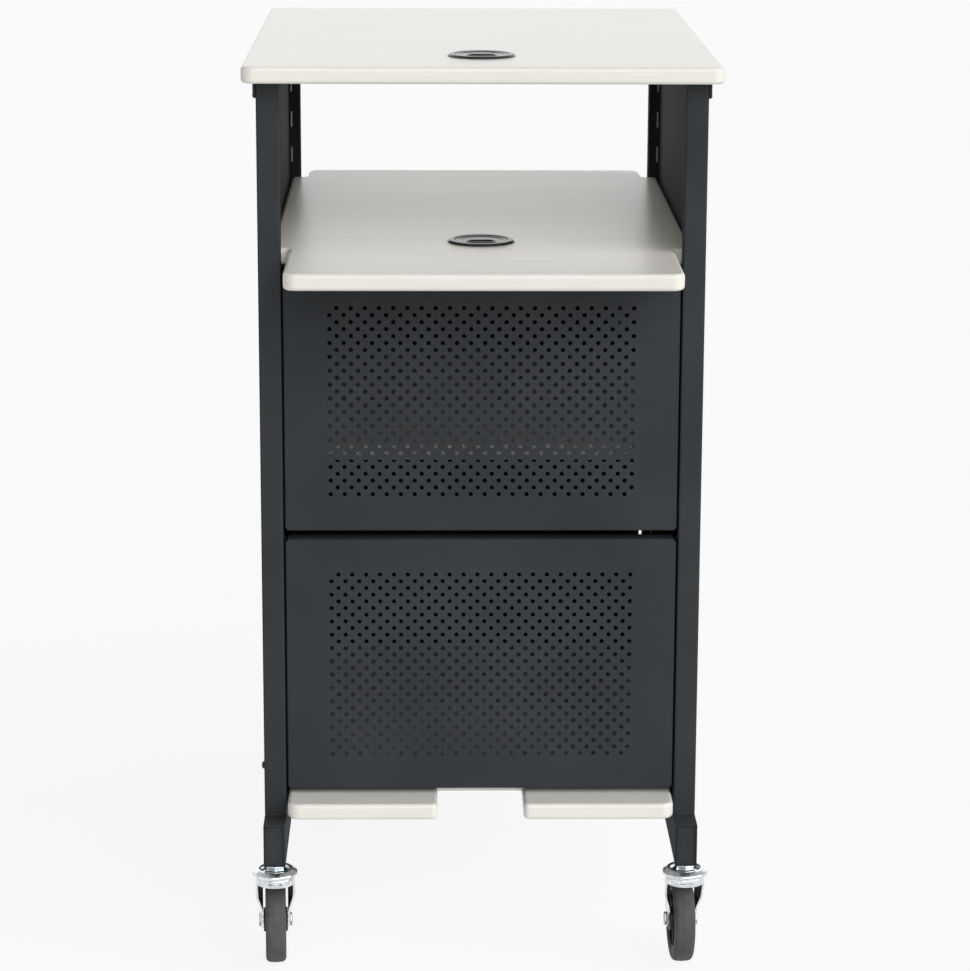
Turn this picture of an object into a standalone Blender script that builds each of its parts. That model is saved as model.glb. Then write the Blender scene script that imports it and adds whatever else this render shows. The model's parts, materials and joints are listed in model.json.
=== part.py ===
"""Audio visual cart: two welded side frames on swivel casters, a laminate top,
a deep middle shelf, a closed lower bay with two perforated panels on one side
and a hinged, locking door on the other.

Metres, +Z up. X runs across the cart and Y from the perforated side (-Y) to the
door side (+Y). The origin lies on the floor, in the middle of the footprint.
"""
import math

import bmesh
import bpy
from mathutils import Matrix, Vector

# Clearances shared by the whole cart
SEAT_GAP = 0.0003
CUT_OVERRUN = 0.002
WELD_DISTANCE = 0.00001

# Overall size of the steelwork
OVERALL_HEIGHT = 1.060
FRAME_WIDTH = 0.504
FRAME_DEPTH = 0.6254

# Columns: square tube with a row of slots for the shelf brackets
COLUMN_SIDE = 0.0254
COLUMN_WALL = 0.0015
COLUMN_CORNER = 0.0020
SLOT_WIDTH = 0.0032
SLOT_HEIGHT = 0.0222
SLOT_PITCH = 0.0457
FIRST_SLOT_ABOVE_RUNNER = 0.0574

# Base runners: rectangular tube on edge, closed at both ends
RUNNER_HEIGHT = 0.0508
RUNNER_WALL = 0.0020
RUNNER_CORNER = 0.0020
RUNNER_OVERHANG = 0.0390
STEM_INSET = 0.0130
WELD_NUT_SIDE = 0.0180
WELD_NUT_HEIGHT = 0.0100

# Cross members between the runners, which carry the lower shelf
CROSS_SIDE = 0.0254
CROSS_WALL = 0.0015
CROSS_RISE_ABOVE_RUNNER = 0.0061
CROSS_FROM_COLUMN_FACE = 0.1500

# Top rails: angle section welded over the column tops
TOP_RAIL_THICKNESS = 0.0030
TOP_RAIL_DROP = 0.0180
TOP_RAIL_CORNER = 0.0040

# Side panels: flat sheet set back between the columns
SIDE_SHEET = 0.0012
SIDE_SHEET_SETBACK = 0.0058

# Boards: laminate on a wood core, edges rounded over
BOARD_THICKNESS = 0.0190
BOARD_EDGE_RADIUS = 0.0045
BOARD_CORNER_RADIUS = 0.0140
BOARD_NOTCH_RADIUS = 0.0060
TOP_SIDE_OVERHANG = 0.0145
TOP_END_OVERHANG = 0.0428
SHELF_NOSE_CLEARANCE = 0.0086
SHELF_COLUMN_CLEARANCE = 0.0016
SHELF_SIDE_CLEARANCE = 0.0010
SHELF_FRONT_REACH = 0.1440
SHELF_REAR_REACH = 0.0366
INNER_SHELF_SETBACK = 0.0060
LOWER_SHELF_SIDE_CLEARANCE = 0.0026
CABLE_NOTCH_WIDTH = 0.1000
CABLE_NOTCH_DEPTH = 0.1010
CABLE_NOTCH_INNER_RADIUS = 0.0080

# Which column slot, counted from the lowest, each adjustable shelf hangs in
MIDDLE_SHELF_SLOT = 13
INNER_SHELF_SLOT = 8

# Shelf brackets: an angle with a hook at each end
BRACKET_SHEET = 0.0015
BRACKET_LEDGE = 0.0200
BRACKET_RISE = 0.0160
BRACKET_LEDGE_SETBACK = 0.0040
SHELF_BELOW_SLOT_CENTRE = 0.0048
HOOK_TAB_HEIGHT = 0.0135
HOOK_LIP = 0.0030
HOOK_LIP_DROP = 0.0055

# Perforated panels: folded trays with ears behind the columns
VENT_SHEET = 0.0012
VENT_SIDE_CLEARANCE = 0.0021
VENT_FACE_SETBACK = 0.0020
VENT_EAR = 0.0090
VENT_ABOVE_LOWER_SHELF = 0.0058
VENT_BELOW_MIDDLE_SHELF = 0.0035
VENT_MIDDLE_GAP = 0.0104
HOLE_RADIUS = 0.0028
HOLE_PITCH = 0.0400
HOLE_ROW_PITCH = 0.0200
HOLES_IN_ROW = 9
HOLE_ROWS = 11
HOLE_SIDES = 4
HOLE_STAGGER_SHARE = 0.25

# Door: a folded tray between the rear columns
DOOR_SHEET = 0.0012
DOOR_DEPTH = 0.0180
DOOR_HINGE_GAP = 0.0020
DOOR_FREE_GAP = 0.0046
DOOR_FACE_SETBACK = 0.0002

# Hinges: two surface hinges with three knuckles each
HINGE_SHEET = 0.0015
HINGE_HEIGHT = 0.0500
HINGE_LEAF = 0.0190
HINGE_KNUCKLE_RADIUS = 0.0045
HINGE_BORE_RADIUS = 0.0024
HINGE_PIN_RADIUS = 0.0021
HINGE_PIN_HEAD = 0.0015
HINGE_END_KNUCKLE = 0.0150
HINGE_FROM_DOOR_END = 0.0700
HINGE_LEAF_CORNER = 0.0030

# Lock and pull on the door
LOCK_FROM_FREE_EDGE = 0.0300
LOCK_ABOVE_DOOR_MIDDLE = 0.1700
LOCK_FLANGE_RADIUS = 0.0110
LOCK_FLANGE_HEIGHT = 0.0025
LOCK_BARREL_RADIUS = 0.0090
LOCK_HOLE_CLEARANCE = 0.0003
LOCK_PLUG_RADIUS = 0.0060
LOCK_KEY_SLOT_WIDTH = 0.0016
LOCK_KEY_SLOT_LENGTH = 0.0080
LOCK_KEY_SLOT_DEPTH = 0.0040
CAM_SHEET = 0.0020
CAM_WIDTH = 0.0150
CAM_PAST_COLUMN_EDGE = 0.0080
CAM_COLUMN_CLEARANCE = 0.0010
CAM_CORNER_RADIUS = 0.0030
CAM_BARREL_GAP = 0.0008
PULL_BELOW_LOCK = 0.1000
PULL_SPACING = 0.0960
PULL_REACH = 0.0300
PULL_RADIUS = 0.0045
PULL_BEND_RADIUS = 0.0140

# Grommets: a flanged ring in the board and a turning cap with a cable slot
GROMMET_FROM_FRONT_FACE = 0.0750
GROMMET_FLANGE_RADIUS = 0.0385
GROMMET_FLANGE_HEIGHT = 0.0027
GROMMET_BEVEL_RADIUS = 0.0350
GROMMET_BARREL_RADIUS = 0.0317
GROMMET_BORE_RADIUS = 0.0300
GROMMET_LEDGE_RADIUS = 0.0270
GROMMET_DEPTH = 0.0150
GROMMET_CAP_THICKNESS = 0.0030
GROMMET_CAP_INSET = 0.0008
CABLE_SLOT_LENGTH = 0.0300
CABLE_SLOT_WIDTH = 0.0150
CABLE_SLOT_FORWARD = 0.0080

# Screw in the outer face of the front left column
SIDE_SCREW_ABOVE_RUNNER = 0.0570
SIDE_SCREW_HEAD_RADIUS = 0.0045
SIDE_SCREW_HEAD_HEIGHT = 0.0034
SIDE_SCREW_RADIUS = 0.0024
SIDE_SCREW_LENGTH = 0.0090

# Casters
CASTER_TRAIL = 0.0300
WHEEL_RADIUS = 0.0508
WHEEL_WIDTH = 0.0240
TYRE_SHOULDER = 0.0040
TYRE_DEPTH = 0.0153
HUB_WEB = 0.0090
HUB_RIM_SETBACK = 0.0015
HUB_BARREL_RADIUS = 0.0145
HUB_BARREL_PROUD = 0.0010
AXLE_RADIUS = 0.0048
AXLE_HEAD_RADIUS = 0.0080
AXLE_HEAD_HEIGHT = 0.0035
AXLE_CLEARANCE = 0.0003
FORK_SHEET = 0.0025
FORK_CROWN_RADIUS = 0.0230
FORK_CROWN_HEIGHT = 0.0100
FORK_CROWN_EDGE = 0.0020
CROWN_OVER_WHEEL = 0.0068
FORK_LEG_FRONT = 0.0140
FORK_LEG_BACK = 0.0160
FORK_LEG_END_RADIUS = 0.0100
CAP_RADIUS = 0.0265
CAP_RIM_HEIGHT = 0.0030
CAP_DOME_HEIGHT = 0.0075
CAP_BELOW_RUNNER = 0.0050
CAP_DOME_RADIUS = 0.0190
CAP_RECESS_RADIUS = 0.0160
CAP_RECESS_DEPTH = 0.0040
STEM_RADIUS = 0.0048
STEM_HEIGHT = 0.0260
STEM_CLEARANCE = 0.0003
COLLAR_RADIUS = 0.0100
KING_PIN_RADIUS = 0.0040
KING_PIN_HEAD_RADIUS = 0.0070
KING_PIN_HEAD_HEIGHT = 0.0035
FRONT_SWIVEL_DEG = 3.0

# Brake on the two casters of the door side
BRAKE_PIVOT_OVER_TYRE = 0.00789
BRAKE_PIVOT_RISE_DEG = 56.96
BRAKE_EAR_RADIUS = 0.0065
BRAKE_HUB_RADIUS = 0.0058
BRAKE_NOSE_WIDTH = 0.0080
BRAKE_NOSE_TIP_WIDTH = 0.0030
BRAKE_TRUNNION_RADIUS = 0.0025
BRAKE_TRUNNION_CLEARANCE = 0.0003
BRAKE_SIDE_CLEARANCE = 0.0005
BRAKE_PEDAL_REACH = 0.0260
BRAKE_PEDAL_THICKNESS = 0.0035
BRAKE_PEDAL_RISE_DEG = 15.0
BRAKE_TRAVEL_DEG = 30.0

# Facets of round shapes, and angles that go with them
WHEEL_STEPS = 32
HUB_STEPS = 20
CAP_STEPS = 18
SMALL_STEPS = 12
GROMMET_STEPS = 24
CORNER_SEGMENTS = 2
ARC_SEGMENTS = 4
HEX_STEPS = 6
QUARTER_TURN = math.radians(90.0)
SHARP_FROM_DEG = 30.0
ROUND_OVER_FROM_DEG = 60.0
ROUND_END_SHARE = 0.9
ROUND_PROFILE_SHARE = 0.5
SCREW_CROWN_SHARE = 0.55
WELD_NUT_LENGTH_SHARE = 0.9

# Places that follow from the sizes above
CROWN_BOTTOM = 2 * WHEEL_RADIUS + CROWN_OVER_WHEEL
CROWN_TOP = CROWN_BOTTOM + FORK_CROWN_HEIGHT
CAP_BOTTOM = CROWN_TOP + SEAT_GAP
CASTER_HEIGHT = CAP_BOTTOM + CAP_DOME_HEIGHT + CAP_BELOW_RUNNER + SEAT_GAP
RUNNER_TOP = CASTER_HEIGHT + RUNNER_HEIGHT
TOP_UNDERSIDE = OVERALL_HEIGHT - BOARD_THICKNESS
COLUMN_X = FRAME_WIDTH / 2 - COLUMN_SIDE / 2
COLUMN_Y = FRAME_DEPTH / 2 - COLUMN_SIDE / 2
COLUMN_INNER_X = FRAME_WIDTH / 2 - COLUMN_SIDE
COLUMN_INNER_Y = FRAME_DEPTH / 2 - COLUMN_SIDE
COLUMN_TOP = TOP_UNDERSIDE - SEAT_GAP - TOP_RAIL_THICKNESS - SEAT_GAP
RUNNER_END_Y = FRAME_DEPTH / 2 + RUNNER_OVERHANG
STEM_Y = RUNNER_END_Y - STEM_INSET
FIRST_SLOT_Z = RUNNER_TOP + FIRST_SLOT_ABOVE_RUNNER
MIDDLE_SLOT_Z = FIRST_SLOT_Z + MIDDLE_SHELF_SLOT * SLOT_PITCH
SLOTS_ABOVE_FIRST = (COLUMN_TOP - SLOT_HEIGHT / 2 - FIRST_SLOT_Z) / SLOT_PITCH
SLOT_COUNT = 1 + math.floor(SLOTS_ABOVE_FIRST)
INNER_SLOT_Z = FIRST_SLOT_Z + INNER_SHELF_SLOT * SLOT_PITCH
MIDDLE_SHELF_UNDERSIDE = MIDDLE_SLOT_Z - SHELF_BELOW_SLOT_CENTRE
INNER_SHELF_UNDERSIDE = INNER_SLOT_Z - SHELF_BELOW_SLOT_CENTRE
CROSS_TOP = RUNNER_TOP + CROSS_RISE_ABOVE_RUNNER
LOWER_SHELF_UNDERSIDE = CROSS_TOP + SEAT_GAP
LOWER_SHELF_TOP = LOWER_SHELF_UNDERSIDE + BOARD_THICKNESS
BAY_BOTTOM = LOWER_SHELF_TOP + VENT_ABOVE_LOWER_SHELF
BAY_TOP = MIDDLE_SHELF_UNDERSIDE - VENT_BELOW_MIDDLE_SHELF
VENT_HEIGHT = (BAY_TOP - BAY_BOTTOM - VENT_MIDDLE_GAP) / 2
SHELF_NOSE_X = COLUMN_INNER_X - SHELF_NOSE_CLEARANCE
SHELF_WIDE_X = COLUMN_X - BRACKET_SHEET / 2 - SHELF_SIDE_CLEARANCE
SHELF_WIDE_Y = COLUMN_INNER_Y - SHELF_COLUMN_CLEARANCE
SHELF_FRONT_Y = -FRAME_DEPTH / 2 - SHELF_FRONT_REACH
SHELF_REAR_Y = FRAME_DEPTH / 2 + SHELF_REAR_REACH
GROMMET_Y = -FRAME_DEPTH / 2 + GROMMET_FROM_FRONT_FACE
BRAKE_PIVOT_FROM_AXLE = WHEEL_RADIUS + BRAKE_PIVOT_OVER_TYRE
BRAKE_PIVOT_RISE = math.radians(BRAKE_PIVOT_RISE_DEG)
BRAKE_PIVOT_BACK = CASTER_TRAIL + BRAKE_PIVOT_FROM_AXLE * math.cos(BRAKE_PIVOT_RISE)
BRAKE_PIVOT_HEIGHT = WHEEL_RADIUS + BRAKE_PIVOT_FROM_AXLE * math.sin(BRAKE_PIVOT_RISE)
BRAKE_REACH = BRAKE_PIVOT_BACK + BRAKE_PEDAL_REACH
TYRE_FACET_RADIUS = WHEEL_RADIUS / math.cos(math.pi / WHEEL_STEPS)
CASTER_REAR_REACH = max(CASTER_TRAIL + TYRE_FACET_RADIUS, BRAKE_REACH)
REAR_END_Y = max(STEM_Y + CASTER_REAR_REACH, SHELF_REAR_Y)
ORIGIN_Y = (SHELF_FRONT_Y + REAR_END_Y) / 2

# Places on the door
DOOR_LEFT_X = -COLUMN_INNER_X + DOOR_HINGE_GAP
DOOR_RIGHT_X = COLUMN_INNER_X - DOOR_FREE_GAP
DOOR_FACE_Y = FRAME_DEPTH / 2 - DOOR_FACE_SETBACK
DOOR_MIDDLE_Z = (BAY_BOTTOM + BAY_TOP) / 2
HINGE_X = -COLUMN_INNER_X + DOOR_HINGE_GAP / 2
HINGE_Y = FRAME_DEPTH / 2 + SEAT_GAP + HINGE_KNUCKLE_RADIUS
LOCK_X = DOOR_RIGHT_X - LOCK_FROM_FREE_EDGE
LOCK_Z = DOOR_MIDDLE_Z + LOCK_ABOVE_DOOR_MIDDLE
PULL_Z = LOCK_Z - PULL_BELOW_LOCK
CAM_BACK_Y = COLUMN_INNER_Y - CAM_COLUMN_CLEARANCE

# Places on a caster
HUB_RADIUS = WHEEL_RADIUS - TYRE_DEPTH
FORK_INNER_X = WHEEL_WIDTH / 2 + HUB_BARREL_PROUD + SEAT_GAP
FORK_OUTER_X = FORK_INNER_X + FORK_SHEET

# Colour, roughness and metallic value of each finish
FINISHES = {
    "charcoal_coat": ((0.040, 0.043, 0.047), 0.55, 0.0),
    "pale_laminate": ((0.80, 0.775, 0.725), 0.45, 0.0),
    "black_plastic": ((0.020, 0.020, 0.022), 0.40, 0.0),
    "zinc_plate": ((0.70, 0.71, 0.72), 0.25, 1.0),
    "grey_rubber": ((0.105, 0.098, 0.092), 0.75, 0.0),
    "dark_hub": ((0.030, 0.030, 0.032), 0.50, 0.0),
    "steel_pin": ((0.55, 0.55, 0.56), 0.35, 1.0),
    "black_screw": ((0.030, 0.030, 0.032), 0.45, 0.0),
}


def clear_scene():
    """Empty the file, so that only the cart is in it."""
    for item in list(bpy.data.objects):
        bpy.data.objects.remove(item, do_unlink=True)


def add_collection(name):
    """A collection under the scene's own."""
    group = bpy.data.collections.new(name)
    bpy.context.scene.collection.children.link(group)
    return group


def finish_material(name):
    """The Principled material of one finish, made once."""
    material = bpy.data.materials.get(name)
    if material is None:
        colour, roughness, metallic = FINISHES[name]
        material = bpy.data.materials.new(name)
        material.use_nodes = True
        shader = material.node_tree.nodes["Principled BSDF"]
        shader.inputs["Base Color"].default_value = (*colour, 1.0)
        shader.inputs["Roughness"].default_value = roughness
        shader.inputs["Metallic"].default_value = metallic
    return material


def add_empty(name, place, parent=None, turn_deg=0.0):
    """An empty that carries pieces; it stands on a joint's axis where they move."""
    empty = bpy.data.objects.new(name, None)
    empty.location = place
    empty.rotation_euler.z = math.radians(turn_deg)
    empty.parent = parent
    PARTS.objects.link(empty)
    return empty


def add_mesh(name, shape):
    """An object from a bmesh, which is freed."""
    mesh = bpy.data.meshes.new(name)
    shape.to_mesh(mesh)
    shape.free()
    piece = bpy.data.objects.new(name, mesh)
    PARTS.objects.link(piece)
    return piece


def dress(piece, finish, parent):
    """Give a piece its finish, its parent and smooth round faces."""
    piece.data.materials.clear()
    piece.data.materials.append(finish_material(finish))
    piece.data.shade_smooth()
    piece.data.set_sharp_from_angle(angle=math.radians(SHARP_FROM_DEG))
    piece.parent = parent
    return piece


def as_cutter(piece, parent):
    """Move a helper shape to the cutters and hide it from the model."""
    PARTS.objects.unlink(piece)
    CUTTERS.objects.link(piece)
    piece.hide_render = True
    piece.display_type = "WIRE"
    piece.parent = parent
    return piece


def combine(piece, helper, operation):
    """Cut, join or trim a piece with a helper shape."""
    as_cutter(helper, piece.parent)
    step = piece.modifiers.new(operation.lower(), "BOOLEAN")
    step.operation = operation
    step.solver = "EXACT"
    step.object = helper
    return piece


def cut(piece, helper):
    return combine(piece, helper, "DIFFERENCE")


def join(piece, helper):
    return combine(piece, helper, "UNION")


def thicken(piece, sheet):
    """Give an open surface its wall, on the inner side."""
    step = piece.modifiers.new("wall", "SOLIDIFY")
    step.thickness = sheet
    step.offset = -1.0
    step.use_even_offset = True
    return piece


def round_over(piece, radius, segments):
    """Round the square edges of a piece and leave its shallow ones."""
    step = piece.modifiers.new("round_over", "BEVEL")
    step.width = radius
    step.segments = segments
    step.limit_method = "ANGLE"
    step.angle_limit = math.radians(ROUND_OVER_FROM_DEG)
    return piece


def block_shape(low, high):
    """A bmesh box between two corners."""
    shape = bmesh.new()
    bmesh.ops.create_cube(shape, size=1.0)
    size = Vector(high) - Vector(low)
    middle = (Vector(high) + Vector(low)) / 2
    bmesh.ops.scale(shape, vec=size, verts=shape.verts)
    bmesh.ops.translate(shape, vec=middle, verts=shape.verts)
    return shape


def block(name, low, high):
    return add_mesh(name, block_shape(low, high))


def tube(name, low, high, axis, wall, corner, open_ends=True):
    """A square tube along one axis, with rounded long edges."""
    shape = block_shape(low, high)
    long_edges = []
    for edge in shape.edges:
        run = edge.verts[1].co - edge.verts[0].co
        if abs(run[axis]) > run.length / 2:
            long_edges.append(edge)
    bmesh.ops.bevel(shape, geom=long_edges, offset=corner, segments=CORNER_SEGMENTS,
                    profile=ROUND_PROFILE_SHARE, affect="EDGES")
    if open_ends:
        shape.normal_update()
        ends = [face for face in shape.faces if abs(face.normal[axis]) > 0.9]
        bmesh.ops.delete(shape, geom=ends, context="FACES")
    return thicken(add_mesh(name, shape), wall)


def turned(name, profile, steps, closed=False, flat_first=False):
    """A solid of revolution about Z from (radius, height) points, outer side downwards.

    With flat_first a facet, and not an edge between facets, faces its own +X.
    """
    start = math.pi / steps if flat_first else 0.0
    points = [(radius * math.cos(start), radius * math.sin(start), height)
              for radius, height in profile]
    edges = [(index, index + 1) for index in range(len(points) - 1)]
    if closed:
        edges.append((len(points) - 1, 0))
    mesh = bpy.data.meshes.new(name)
    mesh.from_pydata(points, edges, [])
    piece = bpy.data.objects.new(name, mesh)
    PARTS.objects.link(piece)
    step = piece.modifiers.new("turn", "SCREW")
    step.steps = steps
    step.render_steps = steps
    step.use_merge_vertices = True
    step.merge_threshold = WELD_DISTANCE
    return piece


def rod(name, radius, low, high, steps):
    """A plain round bar about Z between two heights."""
    profile = [(0.0, high), (radius, high), (radius, low), (0.0, low)]
    return turned(name, profile, steps)


def lay_along_x(piece, place):
    """Turn a piece made about Z so that its axis lies along X."""
    piece.rotation_euler.y = QUARTER_TURN
    piece.location = place
    return piece


def lay_along_y(piece, place):
    """Turn a piece made about Z so that its top faces +Y."""
    piece.rotation_euler.x = -QUARTER_TURN
    piece.location = place
    return piece


def rounded(corners):
    """Outline points from (x, y, radius) corners, each radius turned into an arc."""
    outline = []
    count = len(corners)
    for index, (x, y, radius) in enumerate(corners):
        here = Vector((x, y))
        before = Vector(corners[index - 1][:2]) - here
        after = Vector(corners[(index + 1) % count][:2]) - here
        if radius == 0.0:
            outline.append(here)
            continue
        before.normalize()
        after.normalize()
        half_angle = before.angle(after) / 2
        centre = here + (before + after).normalized() * radius / math.sin(half_angle)
        reach = radius / math.tan(half_angle)
        start = here + before * reach - centre
        end = here + after * reach - centre
        sweep = start.angle_signed(end)
        for step in range(ARC_SEGMENTS + 1):
            turn = Matrix.Rotation(-sweep * step / ARC_SEGMENTS, 2)
            outline.append(centre + turn @ start)
    return outline


def plate(name, outline, low, high, plane="XY"):
    """A flat plate with an outline, between two heights over the outline's plane.

    Plane XY takes (x, y) points and rises along Z, and plane YZ takes (y, z)
    points and rises along X.
    """
    curve = bpy.data.curves.new(name, "CURVE")
    curve.dimensions = "2D"
    curve.fill_mode = "BOTH"
    curve.extrude = (high - low) / 2
    spline = curve.splines.new("POLY")
    spline.points.add(len(outline) - 1)
    spline.use_cyclic_u = True
    for point, (across, along) in zip(spline.points, outline):
        point.co = (across, along, 0.0, 1.0)
    source = bpy.data.objects.new(name, curve)
    PARTS.objects.link(source)
    settled = source.evaluated_get(bpy.context.evaluated_depsgraph_get())
    mesh = bpy.data.meshes.new_from_object(settled)
    bpy.data.objects.remove(source)
    shape = bmesh.new()
    shape.from_mesh(mesh)
    bpy.data.meshes.remove(mesh)
    bmesh.ops.remove_doubles(shape, verts=shape.verts, dist=WELD_DISTANCE)
    for end in (-1, 1):
        filled = [face for face in shape.faces
                  if all(vert.co.z * end > 0.0 for vert in face.verts)]
        bmesh.ops.dissolve_faces(shape, faces=filled)
    bmesh.ops.translate(shape, vec=(0.0, 0.0, (high + low) / 2), verts=shape.verts)
    if plane == "YZ":
        upright = Matrix(((0, 0, 1), (1, 0, 0), (0, 1, 0)))
        bmesh.ops.transform(shape, matrix=upright.to_4x4(), verts=shape.verts)
    bmesh.ops.recalc_face_normals(shape, faces=shape.faces)
    return add_mesh(name, shape)


def mirrored(side, near, far):
    """Low and high X of a span that lies on the side given by -1 or +1."""
    return min(side * near, side * far), max(side * near, side * far)


def make_column(name, side, end, parent):
    """One upright, slotted in the face that looks at the other column of its frame."""
    x_low, x_high = mirrored(side, COLUMN_INNER_X, FRAME_WIDTH / 2)
    y_low, y_high = mirrored(end, COLUMN_INNER_Y, FRAME_DEPTH / 2)
    bottom = RUNNER_TOP + SEAT_GAP
    column = tube(name, (x_low, y_low, bottom), (x_high, y_high, COLUMN_TOP), 2,
                  COLUMN_WALL, COLUMN_CORNER)
    dress(column, "charcoal_coat", parent)
    slots = bmesh.new()
    slot_depth = COLUMN_WALL + 2 * CUT_OVERRUN
    slot_y = end * (COLUMN_INNER_Y + COLUMN_WALL / 2)
    for index in range(SLOT_COUNT):
        place = Vector((side * COLUMN_X, slot_y, FIRST_SLOT_Z + index * SLOT_PITCH))
        size = Vector((SLOT_WIDTH, slot_depth, SLOT_HEIGHT))
        matrix = Matrix.Translation(place) @ Matrix.Diagonal(size.to_4d())
        bmesh.ops.create_cube(slots, size=1.0, matrix=matrix)
    cut(column, add_mesh(name + "_slots", slots))
    return column


def make_runner(name, side, parent):
    """One base runner with a weld nut over each caster stem."""
    x_low, x_high = mirrored(side, COLUMN_INNER_X, FRAME_WIDTH / 2)
    runner = tube(name, (x_low, -RUNNER_END_Y, CASTER_HEIGHT),
                  (x_high, RUNNER_END_Y, RUNNER_TOP), 1, RUNNER_WALL, RUNNER_CORNER,
                  open_ends=False)
    dress(runner, "charcoal_coat", parent)
    nut_bottom = CASTER_HEIGHT + RUNNER_WALL / 2
    nut_top = CASTER_HEIGHT + RUNNER_WALL + WELD_NUT_HEIGHT
    half = WELD_NUT_SIDE / 2
    for end, label in ((-1, "front"), (1, "rear")):
        low = (side * COLUMN_X - half, end * STEM_Y - half * WELD_NUT_LENGTH_SHARE, nut_bottom)
        high = (side * COLUMN_X + half, end * STEM_Y + half * WELD_NUT_LENGTH_SHARE, nut_top)
        join(runner, block(f"{name}_{label}_nut", low, high))
        bore = rod(f"{name}_{label}_bore", STEM_RADIUS + STEM_CLEARANCE,
                   CASTER_HEIGHT - CUT_OVERRUN, nut_top + CUT_OVERRUN, SMALL_STEPS)
        bore.location = (side * COLUMN_X, end * STEM_Y, 0.0)
        cut(runner, bore)
    return runner


def make_cross_member(name, end, parent):
    """A square tube between the runners, under the lower shelf."""
    reach = COLUMN_INNER_X - SEAT_GAP
    far = FRAME_DEPTH / 2 - CROSS_FROM_COLUMN_FACE
    y_low, y_high = mirrored(end, far - CROSS_SIDE, far)
    bar = tube(name, (-reach, y_low, CROSS_TOP - CROSS_SIDE), (reach, y_high, CROSS_TOP), 0,
               CROSS_WALL, COLUMN_CORNER)
    return dress(bar, "charcoal_coat", parent)


def make_top_rail(name, side, parent):
    """An angle over the column tops, with its drop outside the columns."""
    top = TOP_UNDERSIDE - SEAT_GAP
    drop_bottom = TOP_UNDERSIDE - TOP_RAIL_DROP
    outline = rounded([
        (-FRAME_DEPTH / 2, drop_bottom, TOP_RAIL_CORNER),
        (FRAME_DEPTH / 2, drop_bottom, TOP_RAIL_CORNER),
        (FRAME_DEPTH / 2, top, 0.0),
        (-FRAME_DEPTH / 2, top, 0.0),
    ])
    outer_face = FRAME_WIDTH / 2 + SEAT_GAP + TOP_RAIL_THICKNESS
    low, high = mirrored(side, FRAME_WIDTH / 2 + SEAT_GAP, outer_face)
    rail = plate(name, outline, low, high, "YZ")
    dress(rail, "charcoal_coat", parent)
    low, high = mirrored(side, COLUMN_INNER_X, FRAME_WIDTH / 2 + SEAT_GAP + TOP_RAIL_THICKNESS / 2)
    leg = block(name + "_leg", (low, -FRAME_DEPTH / 2, top - TOP_RAIL_THICKNESS),
                (high, FRAME_DEPTH / 2, top))
    return join(rail, leg)


def make_side_panel(name, side, parent):
    """The flat sheet that closes a side frame between its columns."""
    outer = FRAME_WIDTH / 2 - SIDE_SHEET_SETBACK
    x_low, x_high = mirrored(side, outer - SIDE_SHEET, outer)
    reach = COLUMN_INNER_Y - SEAT_GAP
    panel = block(name, (x_low, -reach, RUNNER_TOP + SEAT_GAP), (x_high, reach, COLUMN_TOP))
    return dress(panel, "charcoal_coat", parent)


def make_board(name, outline, underside, parent):
    """A laminate board with its edges rounded over."""
    board = plate(name, outline, underside, underside + BOARD_THICKNESS)
    round_over(board, BOARD_EDGE_RADIUS, 2)
    return dress(board, "pale_laminate", parent)


def bore_for_grommet(board, name, top):
    """The round hole in a board that takes a grommet."""
    hole = rod(name, GROMMET_BARREL_RADIUS + SEAT_GAP, top - BOARD_THICKNESS - CUT_OVERRUN,
               top + CUT_OVERRUN, GROMMET_STEPS)
    hole.location = (0.0, GROMMET_Y, 0.0)
    return cut(board, hole)


def make_top_board(parent):
    half_x = FRAME_WIDTH / 2 + TOP_SIDE_OVERHANG
    half_y = FRAME_DEPTH / 2 + TOP_END_OVERHANG
    corner = BOARD_CORNER_RADIUS
    outline = rounded([(-half_x, -half_y, corner), (half_x, -half_y, corner),
                       (half_x, half_y, corner), (-half_x, half_y, corner)])
    board = make_board("top_board", outline, TOP_UNDERSIDE, parent)
    return bore_for_grommet(board, "top_board_hole", OVERALL_HEIGHT)


def make_middle_shelf(parent):
    """Wide between the columns of each frame, narrow where it passes them."""
    nose, wide = SHELF_NOSE_X, SHELF_WIDE_X
    corner, notch = BOARD_CORNER_RADIUS, BOARD_NOTCH_RADIUS
    right_side = [
        (nose, SHELF_FRONT_Y, corner), (nose, -SHELF_WIDE_Y, notch),
        (wide, -SHELF_WIDE_Y, notch), (wide, SHELF_WIDE_Y, notch),
        (nose, SHELF_WIDE_Y, notch), (nose, SHELF_REAR_Y, corner),
    ]
    left_side = [(-x, y, radius) for x, y, radius in reversed(right_side)]
    board = make_board("middle_shelf", rounded(right_side + left_side),
                       MIDDLE_SHELF_UNDERSIDE, parent)
    top = MIDDLE_SHELF_UNDERSIDE + BOARD_THICKNESS
    return bore_for_grommet(board, "middle_shelf_hole", top)


def make_inner_shelf(parent):
    """The adjustable shelf inside the closed bay."""
    wide, notch = SHELF_WIDE_X, BOARD_NOTCH_RADIUS
    front = -COLUMN_INNER_Y + INNER_SHELF_SETBACK
    outline = rounded([(-wide, front, notch), (wide, front, notch),
                       (wide, SHELF_WIDE_Y, notch), (-wide, SHELF_WIDE_Y, notch)])
    return make_board("inner_shelf", outline, INNER_SHELF_UNDERSIDE, parent)


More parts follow.
